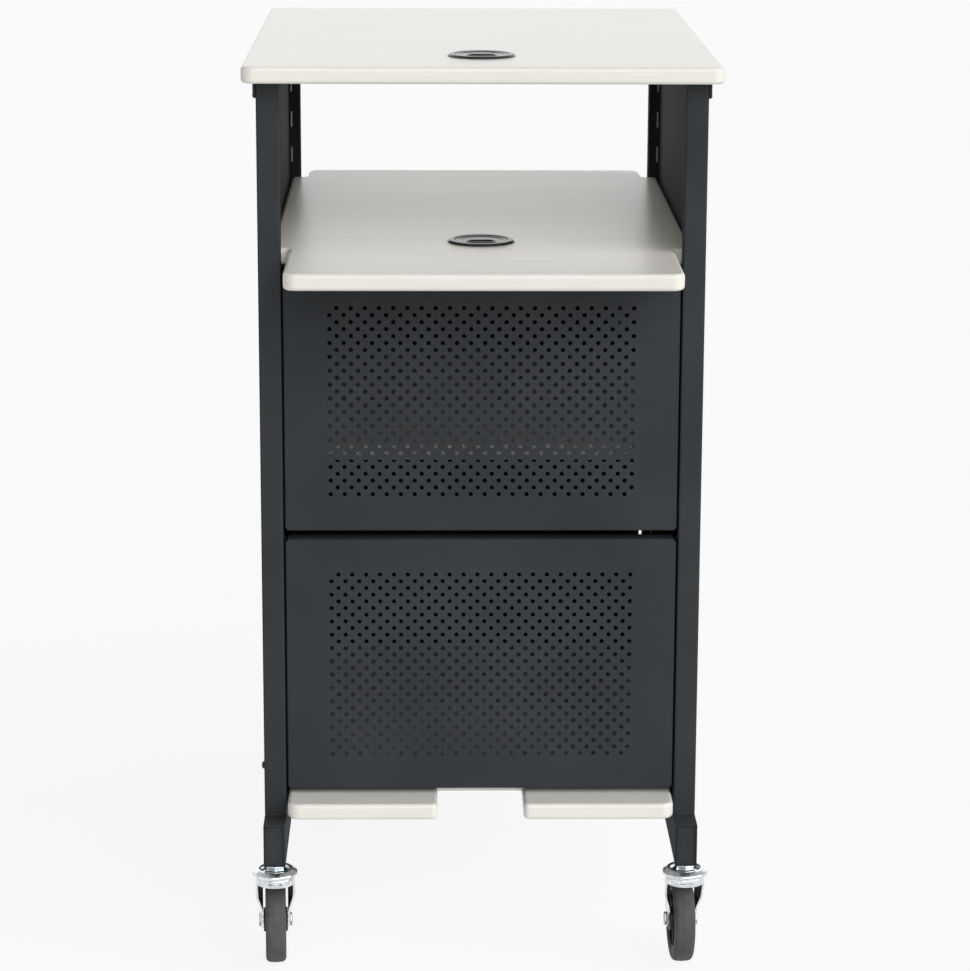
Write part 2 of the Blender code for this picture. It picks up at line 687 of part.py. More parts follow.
def make_lower_shelf(parent):
    """The bottom board, with a cable notch in its front edge."""
    half_x = COLUMN_INNER_X - LOWER_SHELF_SIDE_CLEARANCE
    notch_x = CABLE_NOTCH_WIDTH / 2
    notch_back = -RUNNER_END_Y + CABLE_NOTCH_DEPTH
    corner, inner = BOARD_CORNER_RADIUS, CABLE_NOTCH_INNER_RADIUS
    outline = rounded([
        (-half_x, -RUNNER_END_Y, corner), (-notch_x, -RUNNER_END_Y, corner),
        (-notch_x, notch_back, inner), (notch_x, notch_back, inner),
        (notch_x, -RUNNER_END_Y, corner), (half_x, -RUNNER_END_Y, corner),
        (half_x, RUNNER_END_Y, corner), (-half_x, RUNNER_END_Y, corner),
    ])
    return make_board("lower_shelf", outline, LOWER_SHELF_UNDERSIDE, parent)


def hook_points(end, slot_z):
    """The bracket's outline at one end, up its end face and round its hook."""
    face = COLUMN_INNER_Y - SEAT_GAP
    lip_near = COLUMN_INNER_Y + COLUMN_WALL + SEAT_GAP
    lip_far = lip_near + HOOK_LIP
    tab_bottom = slot_z - SLOT_HEIGHT / 2 + SEAT_GAP
    tab_top = tab_bottom + HOOK_TAB_HEIGHT
    lip_bottom = tab_bottom - HOOK_LIP_DROP
    points = [(face, tab_bottom), (lip_near, tab_bottom), (lip_near, lip_bottom),
              (lip_far, lip_bottom), (lip_far, tab_top), (face, tab_top)]
    return [(end * along, height, 0.0) for along, height in points]


def make_bracket(name, side, slot_z, parent):
    """An angle under a shelf's edge that hooks into the slots of both columns."""
    underside = slot_z - SHELF_BELOW_SLOT_CENTRE
    ledge_top = underside - SEAT_GAP
    bottom = ledge_top - BRACKET_SHEET
    top = underside + BRACKET_RISE
    face = COLUMN_INNER_Y - SEAT_GAP
    rear = hook_points(1, slot_z)
    front = list(reversed(hook_points(-1, slot_z)))
    web_low = rear[0][1] - HOOK_LIP_DROP
    outline = [(-face, web_low, 0.0), (face, web_low, 0.0)] + rear
    outline += [(face, top, 0.0), (-face, top, 0.0)] + front
    low, high = mirrored(side, COLUMN_X - BRACKET_SHEET / 2, COLUMN_X + BRACKET_SHEET / 2)
    bracket = plate(name, rounded(outline), low, high, "YZ")
    dress(bracket, "charcoal_coat", parent)
    low, high = mirrored(side, COLUMN_X - BRACKET_LEDGE, COLUMN_X)
    ledge_end = COLUMN_INNER_Y - BRACKET_LEDGE_SETBACK
    ledge = block(name + "_ledge", (low, -ledge_end, bottom), (high, ledge_end, ledge_top))
    return join(bracket, ledge)


def tray_shape(half_x, face_y, back_y, bottom, top, open_side):
    """A folded tray: a face with four flanges, open at the back or the front."""
    shape = block_shape((-half_x, min(face_y, back_y), bottom),
                        (half_x, max(face_y, back_y), top))
    shape.normal_update()
    open_faces = [face for face in shape.faces if face.normal.y * open_side > 0.5]
    bmesh.ops.delete(shape, geom=open_faces, context="FACES")
    return shape


def make_vent_panel(name, bottom, parent):
    """A perforated panel between the front columns."""
    half_x = COLUMN_INNER_X - VENT_SIDE_CLEARANCE
    face_y = -FRAME_DEPTH / 2 + VENT_FACE_SETBACK
    back_y = -COLUMN_INNER_Y + SEAT_GAP
    shape = tray_shape(half_x, face_y, back_y, bottom, bottom + VENT_HEIGHT, 1)
    for side in (-1, 1):
        rim = [edge for edge in shape.edges if edge.is_boundary
               and all(vert.co.x * side > half_x / 2 for vert in edge.verts)
               and abs(edge.verts[0].co.z - edge.verts[1].co.z) > VENT_HEIGHT / 2
               and min(vert.co.y for vert in edge.verts) > (face_y + back_y) / 2]
        folded = bmesh.ops.extrude_edge_only(shape, edges=rim)["geom"]
        corners = [item for item in folded if isinstance(item, bmesh.types.BMVert)]
        ear = VENT_SIDE_CLEARANCE + VENT_EAR
        bmesh.ops.translate(shape, vec=(side * ear, 0.0, 0.0), verts=corners)
    panel = thicken(add_mesh(name, shape), VENT_SHEET)
    dress(panel, "charcoal_coat", parent)
    holes = bmesh.new()
    lie_along_y = Matrix.Rotation(QUARTER_TURN, 4, "X")
    middle_z = bottom + VENT_HEIGHT / 2
    for row in range(HOLE_ROWS):
        height = middle_z + (row - (HOLE_ROWS - 1) / 2) * HOLE_ROW_PITCH
        stagger = HOLE_STAGGER_SHARE * HOLE_PITCH * (1 if row % 2 else -1)
        for column in range(HOLES_IN_ROW):
            across = (column - (HOLES_IN_ROW - 1) / 2) * HOLE_PITCH + stagger
            place = Matrix.Translation((across, face_y, height))
            bmesh.ops.create_cone(holes, cap_ends=True, segments=HOLE_SIDES, radius1=HOLE_RADIUS,
                                  radius2=HOLE_RADIUS, depth=2 * CUT_OVERRUN + VENT_SHEET,
                                  matrix=place @ lie_along_y)
    return cut(panel, add_mesh(name + "_holes", holes))


def from_hinge(x, y, z):
    """A place on the cart, seen from the door's hinge line."""
    return x - HINGE_X, y - HINGE_Y, z


def make_door(pivot):
    """The door's folded tray, bored for the lock and for the pull's feet."""
    half_x = (DOOR_RIGHT_X - DOOR_LEFT_X) / 2
    shape = tray_shape(half_x, DOOR_FACE_Y, DOOR_FACE_Y - DOOR_DEPTH, BAY_BOTTOM, BAY_TOP, -1)
    middle_x = (DOOR_RIGHT_X + DOOR_LEFT_X) / 2
    bmesh.ops.translate(shape, vec=from_hinge(middle_x, 0.0, 0.0), verts=shape.verts)
    door = thicken(add_mesh("cabinet_door", shape), DOOR_SHEET)
    dress(door, "charcoal_coat", pivot)
    hole = rod("door_lock_hole", LOCK_BARREL_RADIUS + LOCK_HOLE_CLEARANCE,
               -DOOR_SHEET - CUT_OVERRUN, CUT_OVERRUN, SMALL_STEPS)
    lay_along_y(hole, from_hinge(LOCK_X, DOOR_FACE_Y, LOCK_Z))
    cut(door, hole)
    return door


def make_hinge(label, middle_z, pivot, frame):
    """A leaf on the column, a leaf on the door and the pin through their knuckles."""
    bottom = middle_z - HINGE_HEIGHT / 2
    top = middle_z + HINGE_HEIGHT / 2
    lower_split = bottom + HINGE_END_KNUCKLE
    upper_split = top - HINGE_END_KNUCKLE
    leaf_near = SEAT_GAP - HINGE_KNUCKLE_RADIUS
    leaf_far = leaf_near + HINGE_SHEET
    leaf_edge = HINGE_BORE_RADIUS + HINGE_SHEET / 2
    spans = {
        "frame": [(bottom, lower_split), (upper_split, top)],
        "door": [(lower_split + SEAT_GAP, upper_split - SEAT_GAP)],
    }
    for holder, knuckles in spans.items():
        side = -1 if holder == "frame" else 1
        name = f"{label}_hinge_{holder}_leaf"
        corner = HINGE_LEAF_CORNER
        far_edge = side * (leaf_edge + HINGE_LEAF)
        outline = rounded([(0.0, bottom, 0.0), (far_edge, bottom, corner),
                           (far_edge, top, corner), (0.0, top, 0.0)])
        leaf = plate(name, outline, 0.0, HINGE_SHEET)
        upright = Matrix.Rotation(QUARTER_TURN, 4, "X")
        leaf.data.transform(Matrix.Translation((0.0, leaf_far, 0.0)) @ upright)
        if holder == "door":
            dress(leaf, "zinc_plate", pivot)
        else:
            dress(leaf, "zinc_plate", frame)
            leaf.location = (HINGE_X, HINGE_Y, 0.0)
        reach = HINGE_KNUCKLE_RADIUS + SEAT_GAP
        gaps = [(bottom, lower_split), (upper_split, top)] if holder == "door" else []
        if holder == "frame":
            gaps = [(lower_split, upper_split)]
        for index, (low, high) in enumerate(gaps):
            spare = SEAT_GAP if holder == "door" else 0.0
            end_low = low - CUT_OVERRUN if low == bottom else low - spare
            end_high = high + CUT_OVERRUN if high == top else high + spare
            relief = block(f"{name}_relief_{index}", (-reach, -reach, end_low),
                           (reach, reach, end_high))
            relief.location = leaf.location
            cut(leaf, relief)
        for index, (low, high) in enumerate(knuckles):
            knuckle = rod(f"{name}_knuckle_{index}", HINGE_KNUCKLE_RADIUS, low, high, SMALL_STEPS)
            knuckle.location = leaf.location
            join(leaf, knuckle)
        bore = rod(f"{name}_bore", HINGE_BORE_RADIUS, bottom - CUT_OVERRUN, top + CUT_OVERRUN,
                   SMALL_STEPS)
        bore.location = leaf.location
        cut(leaf, bore)
    head = HINGE_KNUCKLE_RADIUS - SEAT_GAP
    pin_top = top + SEAT_GAP + HINGE_PIN_HEAD
    pin = turned(f"{label}_hinge_pin", [
        (0.0, pin_top), (head, pin_top), (head, top + SEAT_GAP),
        (HINGE_PIN_RADIUS, top + SEAT_GAP), (HINGE_PIN_RADIUS, bottom), (0.0, bottom),
    ], SMALL_STEPS)
    pin.location = (HINGE_X, HINGE_Y, 0.0)
    dress(pin, "steel_pin", frame)


def make_lock(pivot):
    """A cam lock: a barrel through the door and a plug that carries the cam."""
    face = SEAT_GAP
    cam_near = CAM_BACK_Y - DOOR_FACE_Y
    cam_far = cam_near - CAM_SHEET
    barrel_end = cam_near + CAM_BARREL_GAP
    plug_bore = LOCK_PLUG_RADIUS + SEAT_GAP
    flange_top = face + LOCK_FLANGE_HEIGHT
    barrel = turned("lock_barrel", [
        (plug_bore, flange_top), (LOCK_FLANGE_RADIUS, flange_top), (LOCK_FLANGE_RADIUS, face),
        (LOCK_BARREL_RADIUS, face), (LOCK_BARREL_RADIUS, barrel_end), (plug_bore, barrel_end),
    ], SMALL_STEPS, closed=True)
    place = from_hinge(LOCK_X, DOOR_FACE_Y, LOCK_Z)
    dress(lay_along_y(barrel, place), "zinc_plate", pivot)
    turn = add_empty("lock_turn", place, pivot)
    plug = rod("lock_plug", LOCK_PLUG_RADIUS, cam_far, flange_top, SMALL_STEPS)
    dress(lay_along_y(plug, (0.0, 0.0, 0.0)), "steel_pin", turn)
    reach = COLUMN_INNER_X + CAM_PAST_COLUMN_EDGE - LOCK_X
    half = CAM_WIDTH / 2
    outline = rounded([(-half, half, half * ROUND_END_SHARE), (half, half, half * ROUND_END_SHARE),
                       (half, -reach, CAM_CORNER_RADIUS), (-half, -reach, CAM_CORNER_RADIUS)])
    cam = plate("lock_cam", outline, 0.0, CAM_SHEET)
    upright = Matrix.Rotation(QUARTER_TURN, 4, "X")
    cam.data.transform(Matrix.Translation((0.0, cam_near, 0.0)) @ upright)
    cam.parent = turn
    join(plug, cam)
    slot_half = LOCK_KEY_SLOT_WIDTH / 2
    slot_reach = LOCK_KEY_SLOT_LENGTH / 2
    key_slot = block("lock_key_slot", (-slot_half, flange_top - LOCK_KEY_SLOT_DEPTH, -slot_reach),
                     (slot_half, flange_top + CUT_OVERRUN, slot_reach))
    cut(plug, key_slot)
    return plug


def make_pull(pivot):
    """A bent round bar with a foot at each end, on the door's face."""
    half = PULL_SPACING / 2
    foot = SEAT_GAP
    bend = PULL_BEND_RADIUS
    path = [(0.0, foot, -half)]
    for corner_z, sweep_from in ((-half, 0), (half, 1)):
        inward = -1 if corner_z > 0 else 1
        centre = (PULL_REACH - PULL_RADIUS - bend, corner_z + inward * bend)
        for step in range(ARC_SEGMENTS + 1):
            share = step / ARC_SEGMENTS
            angle = QUARTER_TURN * (share if sweep_from == 0 else 1 - share)
            out = centre[0] + bend * math.sin(angle)
            along = centre[1] - inward * bend * math.cos(angle)
            path.append((0.0, out, along))
    path.append((0.0, foot, half))
    curve = bpy.data.curves.new("door_pull", "CURVE")
    curve.dimensions = "3D"
    curve.bevel_depth = PULL_RADIUS
    curve.bevel_resolution = 2
    curve.use_fill_caps = True
    spline = curve.splines.new("POLY")
    spline.points.add(len(path) - 1)
    for point, place in zip(spline.points, path):
        point.co = (*place, 1.0)
    pull = bpy.data.objects.new("door_pull", curve)
    PARTS.objects.link(pull)
    curve.materials.append(finish_material("black_plastic"))
    pull.location = from_hinge(LOCK_X, DOOR_FACE_Y, PULL_Z)
    pull.parent = pivot
    return pull


def make_grommet(label, top, frame):
    """A flanged ring and a cap that turns on the ring's ledge."""
    base = top + SEAT_GAP
    crest = base + GROMMET_FLANGE_HEIGHT
    bottom = top - GROMMET_DEPTH
    cap_top = crest - GROMMET_CAP_INSET
    ledge_top = cap_top - GROMMET_CAP_THICKNESS - SEAT_GAP
    ring = turned(f"{label}_grommet_ring", [
        (GROMMET_BORE_RADIUS, crest), (GROMMET_BEVEL_RADIUS, crest), (GROMMET_FLANGE_RADIUS, base),
        (GROMMET_BARREL_RADIUS, base), (GROMMET_BARREL_RADIUS, bottom),
        (GROMMET_LEDGE_RADIUS, bottom), (GROMMET_LEDGE_RADIUS, ledge_top),
        (GROMMET_BORE_RADIUS, ledge_top),
    ], GROMMET_STEPS, closed=True)
    ring.location = (0.0, GROMMET_Y, 0.0)
    dress(ring, "black_plastic", frame)
    turn = add_empty(f"{label}_grommet_turn", (0.0, GROMMET_Y, 0.0), frame)
    cap = rod(f"{label}_grommet_cap", GROMMET_BORE_RADIUS - SEAT_GAP, cap_top - GROMMET_CAP_THICKNESS,
              cap_top, GROMMET_STEPS)
    dress(cap, "black_plastic", turn)
    half_x = CABLE_SLOT_LENGTH / 2
    half_y = CABLE_SLOT_WIDTH / 2
    end = half_y * ROUND_END_SHARE
    front = -CABLE_SLOT_FORWARD - half_y
    back = -CABLE_SLOT_FORWARD + half_y
    outline = rounded([(-half_x, front, end), (half_x, front, end), (half_x, back, end),
                       (-half_x, back, end)])
    slot = plate(f"{label}_cable_slot", outline, cap_top - GROMMET_CAP_THICKNESS - CUT_OVERRUN,
                 cap_top + CUT_OVERRUN)
    return cut(cap, slot)


def make_side_screw(frame):
    """A round-headed screw through the outer wall of the front left column."""
    column = bpy.data.objects["front_left_column"]
    place = (-FRAME_WIDTH / 2, -COLUMN_Y, RUNNER_TOP + SIDE_SCREW_ABOVE_RUNNER)
    hole = rod("side_screw_hole", SIDE_SCREW_RADIUS + SEAT_GAP, -COLUMN_WALL - CUT_OVERRUN,
               COLUMN_WALL + CUT_OVERRUN, SMALL_STEPS)
    cut(column, lay_along_x(hole, place))
    crown = SIDE_SCREW_HEAD_RADIUS * SCREW_CROWN_SHARE
    profile = [
        (0.0, SIDE_SCREW_LENGTH), (SIDE_SCREW_RADIUS, SIDE_SCREW_LENGTH),
        (SIDE_SCREW_RADIUS, -SEAT_GAP), (SIDE_SCREW_HEAD_RADIUS, -SEAT_GAP),
        (SIDE_SCREW_HEAD_RADIUS, -SIDE_SCREW_HEAD_HEIGHT / 2),
        (crown, -SIDE_SCREW_HEAD_HEIGHT), (0.0, -SIDE_SCREW_HEAD_HEIGHT),
    ]
    screw = turned("side_screw", profile, SMALL_STEPS)
    return dress(lay_along_x(screw, place), "black_screw", frame)


def make_stem(label, anchor):
    """The fixed half of a caster: stem, hex collar, domed cap and king pin."""
    cap_edge = CAP_BOTTOM + CAP_RIM_HEIGHT
    dome_top = CAP_BOTTOM + CAP_DOME_HEIGHT
    recess = dome_top - CAP_RECESS_DEPTH
    collar_top = CASTER_HEIGHT - SEAT_GAP
    stem_top = CASTER_HEIGHT + STEM_HEIGHT
    head_top = CROWN_BOTTOM - SEAT_GAP
    head_bottom = head_top - KING_PIN_HEAD_HEIGHT
    stem = turned(f"{label}_stem", [
        (0.0, stem_top), (STEM_RADIUS, stem_top), (STEM_RADIUS, recess),
        (CAP_RECESS_RADIUS, recess), (CAP_DOME_RADIUS, dome_top), (CAP_RADIUS, cap_edge),
        (CAP_RADIUS, CAP_BOTTOM), (KING_PIN_RADIUS, CAP_BOTTOM), (KING_PIN_RADIUS, head_top),
        (KING_PIN_HEAD_RADIUS, head_top), (KING_PIN_HEAD_RADIUS, head_bottom),
        (0.0, head_bottom),
    ], CAP_STEPS)
    dress(stem, "zinc_plate", anchor)
    collar = rod(f"{label}_collar", COLLAR_RADIUS, recess - CUT_OVERRUN, collar_top, HEX_STEPS)
    return join(stem, collar)


def leg_outline(braked):
    """The side view of a fork leg, as (y, z) corners with radii."""
    end = FORK_LEG_END_RADIUS
    top = CROWN_BOTTOM + FORK_CROWN_HEIGHT / 2
    low = WHEEL_RADIUS - end
    corners = [
        (-FORK_LEG_FRONT, top, 0.0),
        (CASTER_TRAIL - end, low, end * ROUND_END_SHARE),
        (CASTER_TRAIL + end, low, end * ROUND_END_SHARE),
    ]
    if braked:
        ear = BRAKE_EAR_RADIUS
        back = BRAKE_PIVOT_BACK + ear
        corners += [
            (CASTER_TRAIL + end, BRAKE_PIVOT_HEIGHT - 2 * end, ear),
            (back, BRAKE_PIVOT_HEIGHT - ear, ear * ROUND_END_SHARE),
            (back, BRAKE_PIVOT_HEIGHT + ear, ear * ROUND_END_SHARE),
            (FORK_LEG_BACK, BRAKE_PIVOT_HEIGHT + ear, 0.0),
        ]
    corners.append((FORK_LEG_BACK, top, 0.0))
    return rounded(corners)


def make_fork(label, swivel, braked):
    """The pressed fork that turns under the cap, with a leg each side of the wheel."""
    chamfer = FORK_CROWN_EDGE
    fork = turned(f"{label}_fork", [
        (KING_PIN_RADIUS + SEAT_GAP, CROWN_TOP), (FORK_CROWN_RADIUS - chamfer, CROWN_TOP),
        (FORK_CROWN_RADIUS, CROWN_TOP - chamfer), (FORK_CROWN_RADIUS, CROWN_BOTTOM),
        (KING_PIN_RADIUS + SEAT_GAP, CROWN_BOTTOM),
    ], CAP_STEPS, closed=True)
    dress(fork, "zinc_plate", swivel)
    outline = leg_outline(braked)
    for side, hand in ((-1, "left"), (1, "right")):
        low, high = mirrored(side, FORK_INNER_X, FORK_OUTER_X)
        join(fork, plate(f"{label}_leg_{hand}", outline, low, high, "YZ"))
    reach = FORK_OUTER_X + CUT_OVERRUN
    hole = rod(f"{label}_axle_hole", AXLE_RADIUS + AXLE_CLEARANCE, -reach, reach, SMALL_STEPS)
    cut(fork, lay_along_x(hole, (0.0, CASTER_TRAIL, WHEEL_RADIUS)))
    if braked:
        hole = rod(f"{label}_brake_hole", BRAKE_TRUNNION_RADIUS + BRAKE_TRUNNION_CLEARANCE,
                   -reach, reach, SMALL_STEPS)
        cut(fork, lay_along_x(hole, (0.0, BRAKE_PIVOT_BACK, BRAKE_PIVOT_HEIGHT)))
    return fork


def make_axle(label, swivel):
    """The axle bolt across the fork, with its head and nut outside the legs."""
    face = FORK_OUTER_X + SEAT_GAP
    end = face + AXLE_HEAD_HEIGHT
    axle = rod(f"{label}_axle", AXLE_RADIUS, -end, end, SMALL_STEPS)
    dress(lay_along_x(axle, (0.0, CASTER_TRAIL, WHEEL_RADIUS)), "steel_pin", swivel)
    for side, hand in ((-1, "left"), (1, "right")):
        low, high = mirrored(side, face, end)
        head = rod(f"{label}_axle_{hand}", AXLE_HEAD_RADIUS, low, high, HEX_STEPS)
        join(axle, lay_along_x(head, (0.0, CASTER_TRAIL, WHEEL_RADIUS)))
    return axle


def make_wheel(label, swivel):
    """A moulded hub and the rubber tyre on it, turning on the axle."""
    place = (0.0, CASTER_TRAIL, WHEEL_RADIUS)
    spin = add_empty(f"{label}_wheel", place, swivel)
    half = WHEEL_WIDTH / 2
    bore = AXLE_RADIUS + AXLE_CLEARANCE
    barrel = half + HUB_BARREL_PROUD
    rim = half - HUB_RIM_SETBACK
    web = HUB_WEB / 2
    hub = turned(f"{label}_hub", [
        (bore, barrel), (HUB_BARREL_RADIUS, barrel), (HUB_BARREL_RADIUS, web), (HUB_RADIUS, rim),
        (HUB_RADIUS, -rim), (HUB_BARREL_RADIUS, -web), (HUB_BARREL_RADIUS, -barrel),
        (bore, -barrel),
    ], HUB_STEPS, closed=True)
    dress(lay_along_x(hub, (0.0, 0.0, 0.0)), "dark_hub", spin)
    seat = HUB_RADIUS / math.cos(math.pi / WHEEL_STEPS) + SEAT_GAP
    outer = TYRE_FACET_RADIUS
    shoulder = outer - TYRE_SHOULDER
    tread = half - TYRE_SHOULDER
    tyre = turned(f"{label}_tyre", [
        (seat, half), (shoulder, half), (outer, tread), (outer, -tread),
        (shoulder, -half), (seat, -half),
    ], WHEEL_STEPS, closed=True, flat_first=True)
    dress(lay_along_x(tyre, (0.0, 0.0, 0.0)), "grey_rubber", spin)
    return spin


def make_brake(label, swivel):
    """A pedal on a pivot behind the wheel; pressed down, its nose meets the tyre."""
    place = (0.0, BRAKE_PIVOT_BACK, BRAKE_PIVOT_HEIGHT)
    turn = add_empty(f"{label}_brake", place, swivel)
    half = FORK_INNER_X - BRAKE_SIDE_CLEARANCE
    pedal = rod(f"{label}_brake_pedal", BRAKE_HUB_RADIUS, -half, half, SMALL_STEPS)
    dress(lay_along_x(pedal, (0.0, 0.0, 0.0)), "black_plastic", turn)
    rise = math.radians(BRAKE_PEDAL_RISE_DEG)
    along = Vector((math.cos(rise), math.sin(rise)))
    across = Vector((-math.sin(rise), math.cos(rise))) * BRAKE_PEDAL_THICKNESS / 2
    tip = along * (BRAKE_PEDAL_REACH - across.length * math.sin(rise)) / math.cos(rise)
    tread = plate(f"{label}_brake_tread", [-across, tip - across, tip + across, across],
                  -half, half, "YZ")
    tread.parent = turn
    join(pedal, tread)
    to_axle = Vector((CASTER_TRAIL - BRAKE_PIVOT_BACK, WHEEL_RADIUS - BRAKE_PIVOT_HEIGHT))
    nose_reach = to_axle.length - TYRE_FACET_RADIUS - SEAT_GAP
    nose_reach = math.sqrt(nose_reach ** 2 - (BRAKE_NOSE_TIP_WIDTH / 2) ** 2)
    down = Matrix.Rotation(math.radians(BRAKE_TRAVEL_DEG), 2) @ to_axle.normalized()
    aside = Vector((-down.y, down.x))
    base, end = aside * BRAKE_NOSE_WIDTH / 2, aside * BRAKE_NOSE_TIP_WIDTH / 2
    tip = down * nose_reach
    nose = plate(f"{label}_brake_nose", [-base, tip - end, tip + end, base], -half, half, "YZ")
    nose.parent = turn
    join(pedal, nose)
    reach = FORK_OUTER_X
    trunnion = rod(f"{label}_brake_trunnion", BRAKE_TRUNNION_RADIUS, -reach, reach, SMALL_STEPS)
    join(pedal, lay_along_x(trunnion, (0.0, 0.0, 0.0)))
    return pedal


def make_caster(label, side, end, frame):
    """One swivel caster; the two on the door side carry a brake."""
    place = (side * COLUMN_X, end * STEM_Y, 0.0)
    anchor = add_empty(f"{label}_caster", place, frame)
    turn = FRONT_SWIVEL_DEG if end < 0 else 0.0
    swivel = add_empty(f"{label}_swivel", (0.0, 0.0, 0.0), anchor, turn)
    braked = end > 0
    make_stem(f"{label}_caster", anchor)
    make_fork(f"{label}_caster", swivel, braked)
    make_axle(f"{label}_caster", swivel)
    make_wheel(f"{label}_caster", swivel)
    if braked:
        make_brake(f"{label}_caster", swivel)


def make_frame(frame):
    """The steelwork that everything else hangs on."""
    for side, hand in ((-1, "left"), (1, "right")):
        make_column(f"front_{hand}_column", side, -1, frame)
        make_column(f"rear_{hand}_column", side, 1, frame)
        make_runner(f"{hand}_base_runner", side, frame)
        make_top_rail(f"{hand}_top_rail", side, frame)
        make_side_panel(f"{hand}_side_panel", side, frame)
        make_bracket(f"middle_shelf_{hand}_bracket", side, MIDDLE_SLOT_Z, frame)
        make_bracket(f"inner_shelf_{hand}_bracket", side, INNER_SLOT_Z, frame)
    make_cross_member("front_cross_member", -1, frame)
    make_cross_member("rear_cross_member", 1, frame)
    make_side_screw(frame)


def make_boards(frame):
    make_top_board(frame)
    make_middle_shelf(frame)
    make_inner_shelf(frame)
    make_lower_shelf(frame)
    make_grommet("top", OVERALL_HEIGHT, frame)
    make_grommet("shelf", MIDDLE_SHELF_UNDERSIDE + BOARD_THICKNESS, frame)


def make_door_group(frame):
    pivot = add_empty("door_pivot", (HINGE_X, HINGE_Y, 0.0), frame)
    make_door(pivot)
    make_hinge("lower", BAY_BOTTOM + HINGE_FROM_DOOR_END, pivot, frame)
    make_hinge("upper", BAY_TOP - HINGE_FROM_DOOR_END, pivot, frame)
    make_lock(pivot)
    make_pull(pivot)


clear_scene()
PARTS = add_collection("audio_visual_cart")
CUTTERS = add_collection("cutters")
cart = add_empty("cart_origin", (0.0, -ORIGIN_Y, 0.0))
make_frame(cart)
make_boards(cart)
make_vent_panel("lower_vent_panel", BAY_BOTTOM, cart)
make_vent_panel("upper_vent_panel", BAY_TOP - VENT_HEIGHT, cart)
make_door_group(cart)
for caster_side, caster_hand in ((-1, "left"), (1, "right")):
    make_caster(f"front_{caster_hand}", caster_side, -1, cart)
    make_caster(f"rear_{caster_hand}", caster_side, 1, cart)
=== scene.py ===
# %% [markdown]
# # An audio visual cart, dressed for its portrait
#
# The cart is a welded frame of square tube painted charcoal, with four pale boards, two
# perforated panels, a door at the back and four swivel casters. The CAD frame already holds
# every piece at its real size, so this lesson only makes what the eye sees: finer meshes
# that stand in the same places, and a finish for each surface.

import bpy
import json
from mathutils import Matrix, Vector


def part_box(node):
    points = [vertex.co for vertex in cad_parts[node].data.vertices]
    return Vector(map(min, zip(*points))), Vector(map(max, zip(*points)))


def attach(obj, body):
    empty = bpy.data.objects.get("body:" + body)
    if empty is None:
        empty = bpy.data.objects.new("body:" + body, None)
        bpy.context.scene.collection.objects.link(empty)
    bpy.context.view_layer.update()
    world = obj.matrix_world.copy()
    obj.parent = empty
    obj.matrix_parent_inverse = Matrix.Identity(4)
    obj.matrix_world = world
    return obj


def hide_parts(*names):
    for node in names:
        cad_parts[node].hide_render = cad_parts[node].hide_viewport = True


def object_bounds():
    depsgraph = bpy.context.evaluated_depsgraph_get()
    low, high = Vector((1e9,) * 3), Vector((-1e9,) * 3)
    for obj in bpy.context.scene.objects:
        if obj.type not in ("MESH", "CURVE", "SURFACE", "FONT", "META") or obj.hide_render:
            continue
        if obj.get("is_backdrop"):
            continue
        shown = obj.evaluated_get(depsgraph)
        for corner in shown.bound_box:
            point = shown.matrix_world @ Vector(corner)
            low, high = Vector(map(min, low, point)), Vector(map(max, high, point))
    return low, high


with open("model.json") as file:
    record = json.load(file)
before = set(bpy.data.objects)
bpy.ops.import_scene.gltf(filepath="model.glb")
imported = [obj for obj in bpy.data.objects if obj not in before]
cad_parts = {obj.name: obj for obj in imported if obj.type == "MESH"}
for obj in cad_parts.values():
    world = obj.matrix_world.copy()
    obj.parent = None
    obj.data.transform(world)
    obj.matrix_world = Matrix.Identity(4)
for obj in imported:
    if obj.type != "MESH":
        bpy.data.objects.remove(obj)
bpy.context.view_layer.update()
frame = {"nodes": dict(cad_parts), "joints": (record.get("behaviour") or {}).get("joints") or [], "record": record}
print("frame:", len(frame["nodes"]), "nodes")

# %% [markdown]
# Blender's own modules come next.

# %% Modules and units
import json
import math

import bmesh
import bpy
from mathutils import Matrix, Vector

MM = 0.001
HANDS = {"left": -1, "right": 1}
BODY_OF = {node: body for body, nodes in frame["record"]["behaviour"]["bodies"].items()
           for node in nodes}


def box_middle(node):
    """The middle of a CAD node's box."""
    low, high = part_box(node)
    return (low + high) / 2


# %% [markdown]
# A new primitive gets its size and place as it is added, and then its place is moved into
# its mesh, so the finished object sits at the origin as a CAD node does.

# %% Starting a piece
def only(piece):
    """Leaves edit mode and makes one object the selected and active one."""
    if bpy.context.mode != "OBJECT":
        bpy.ops.object.mode_set(mode="OBJECT")
    bpy.ops.object.select_all(action="DESELECT")
    if piece is not None:
        piece.select_set(True)
        bpy.context.view_layer.objects.active = piece
    return piece


def settle(piece):
    """Moves an object's place, turn and scale into its mesh."""
    only(piece)
    bpy.ops.object.transform_apply(location=True, rotation=True, scale=True)
    return piece


def laid(piece, place, turn_deg=(0.0, 0.0, 0.0)):
    """Turns a piece and carries it to its place."""
    piece.rotation_euler = [math.radians(angle) for angle in turn_deg]
    piece.location = place
    return settle(piece)


def start(kind, name, stretch=(1.0, 1.0, 1.0), **settings):
    """Adds a primitive, names it, stretches it and settles it."""
    only(None)
    getattr(bpy.ops.mesh, f"primitive_{kind}_add")(**settings)
    piece = bpy.context.object
    piece.name = piece.data.name = name
    piece.scale = stretch
    return settle(piece)


def start_box(name, low, high):
    """A cube between two corners."""
    low, high = Vector(low), Vector(high)
    return start("cube", name, size=1.0, location=(low + high) / 2, stretch=high - low)


def copied(master, name, place=Matrix()):
    """A copy with its own mesh, carried to its place."""
    piece = master.copy()
    piece.data = master.data.copy()
    piece.name = piece.data.name = name
    bpy.context.collection.objects.link(piece)
    piece.data.transform(place)
    return piece


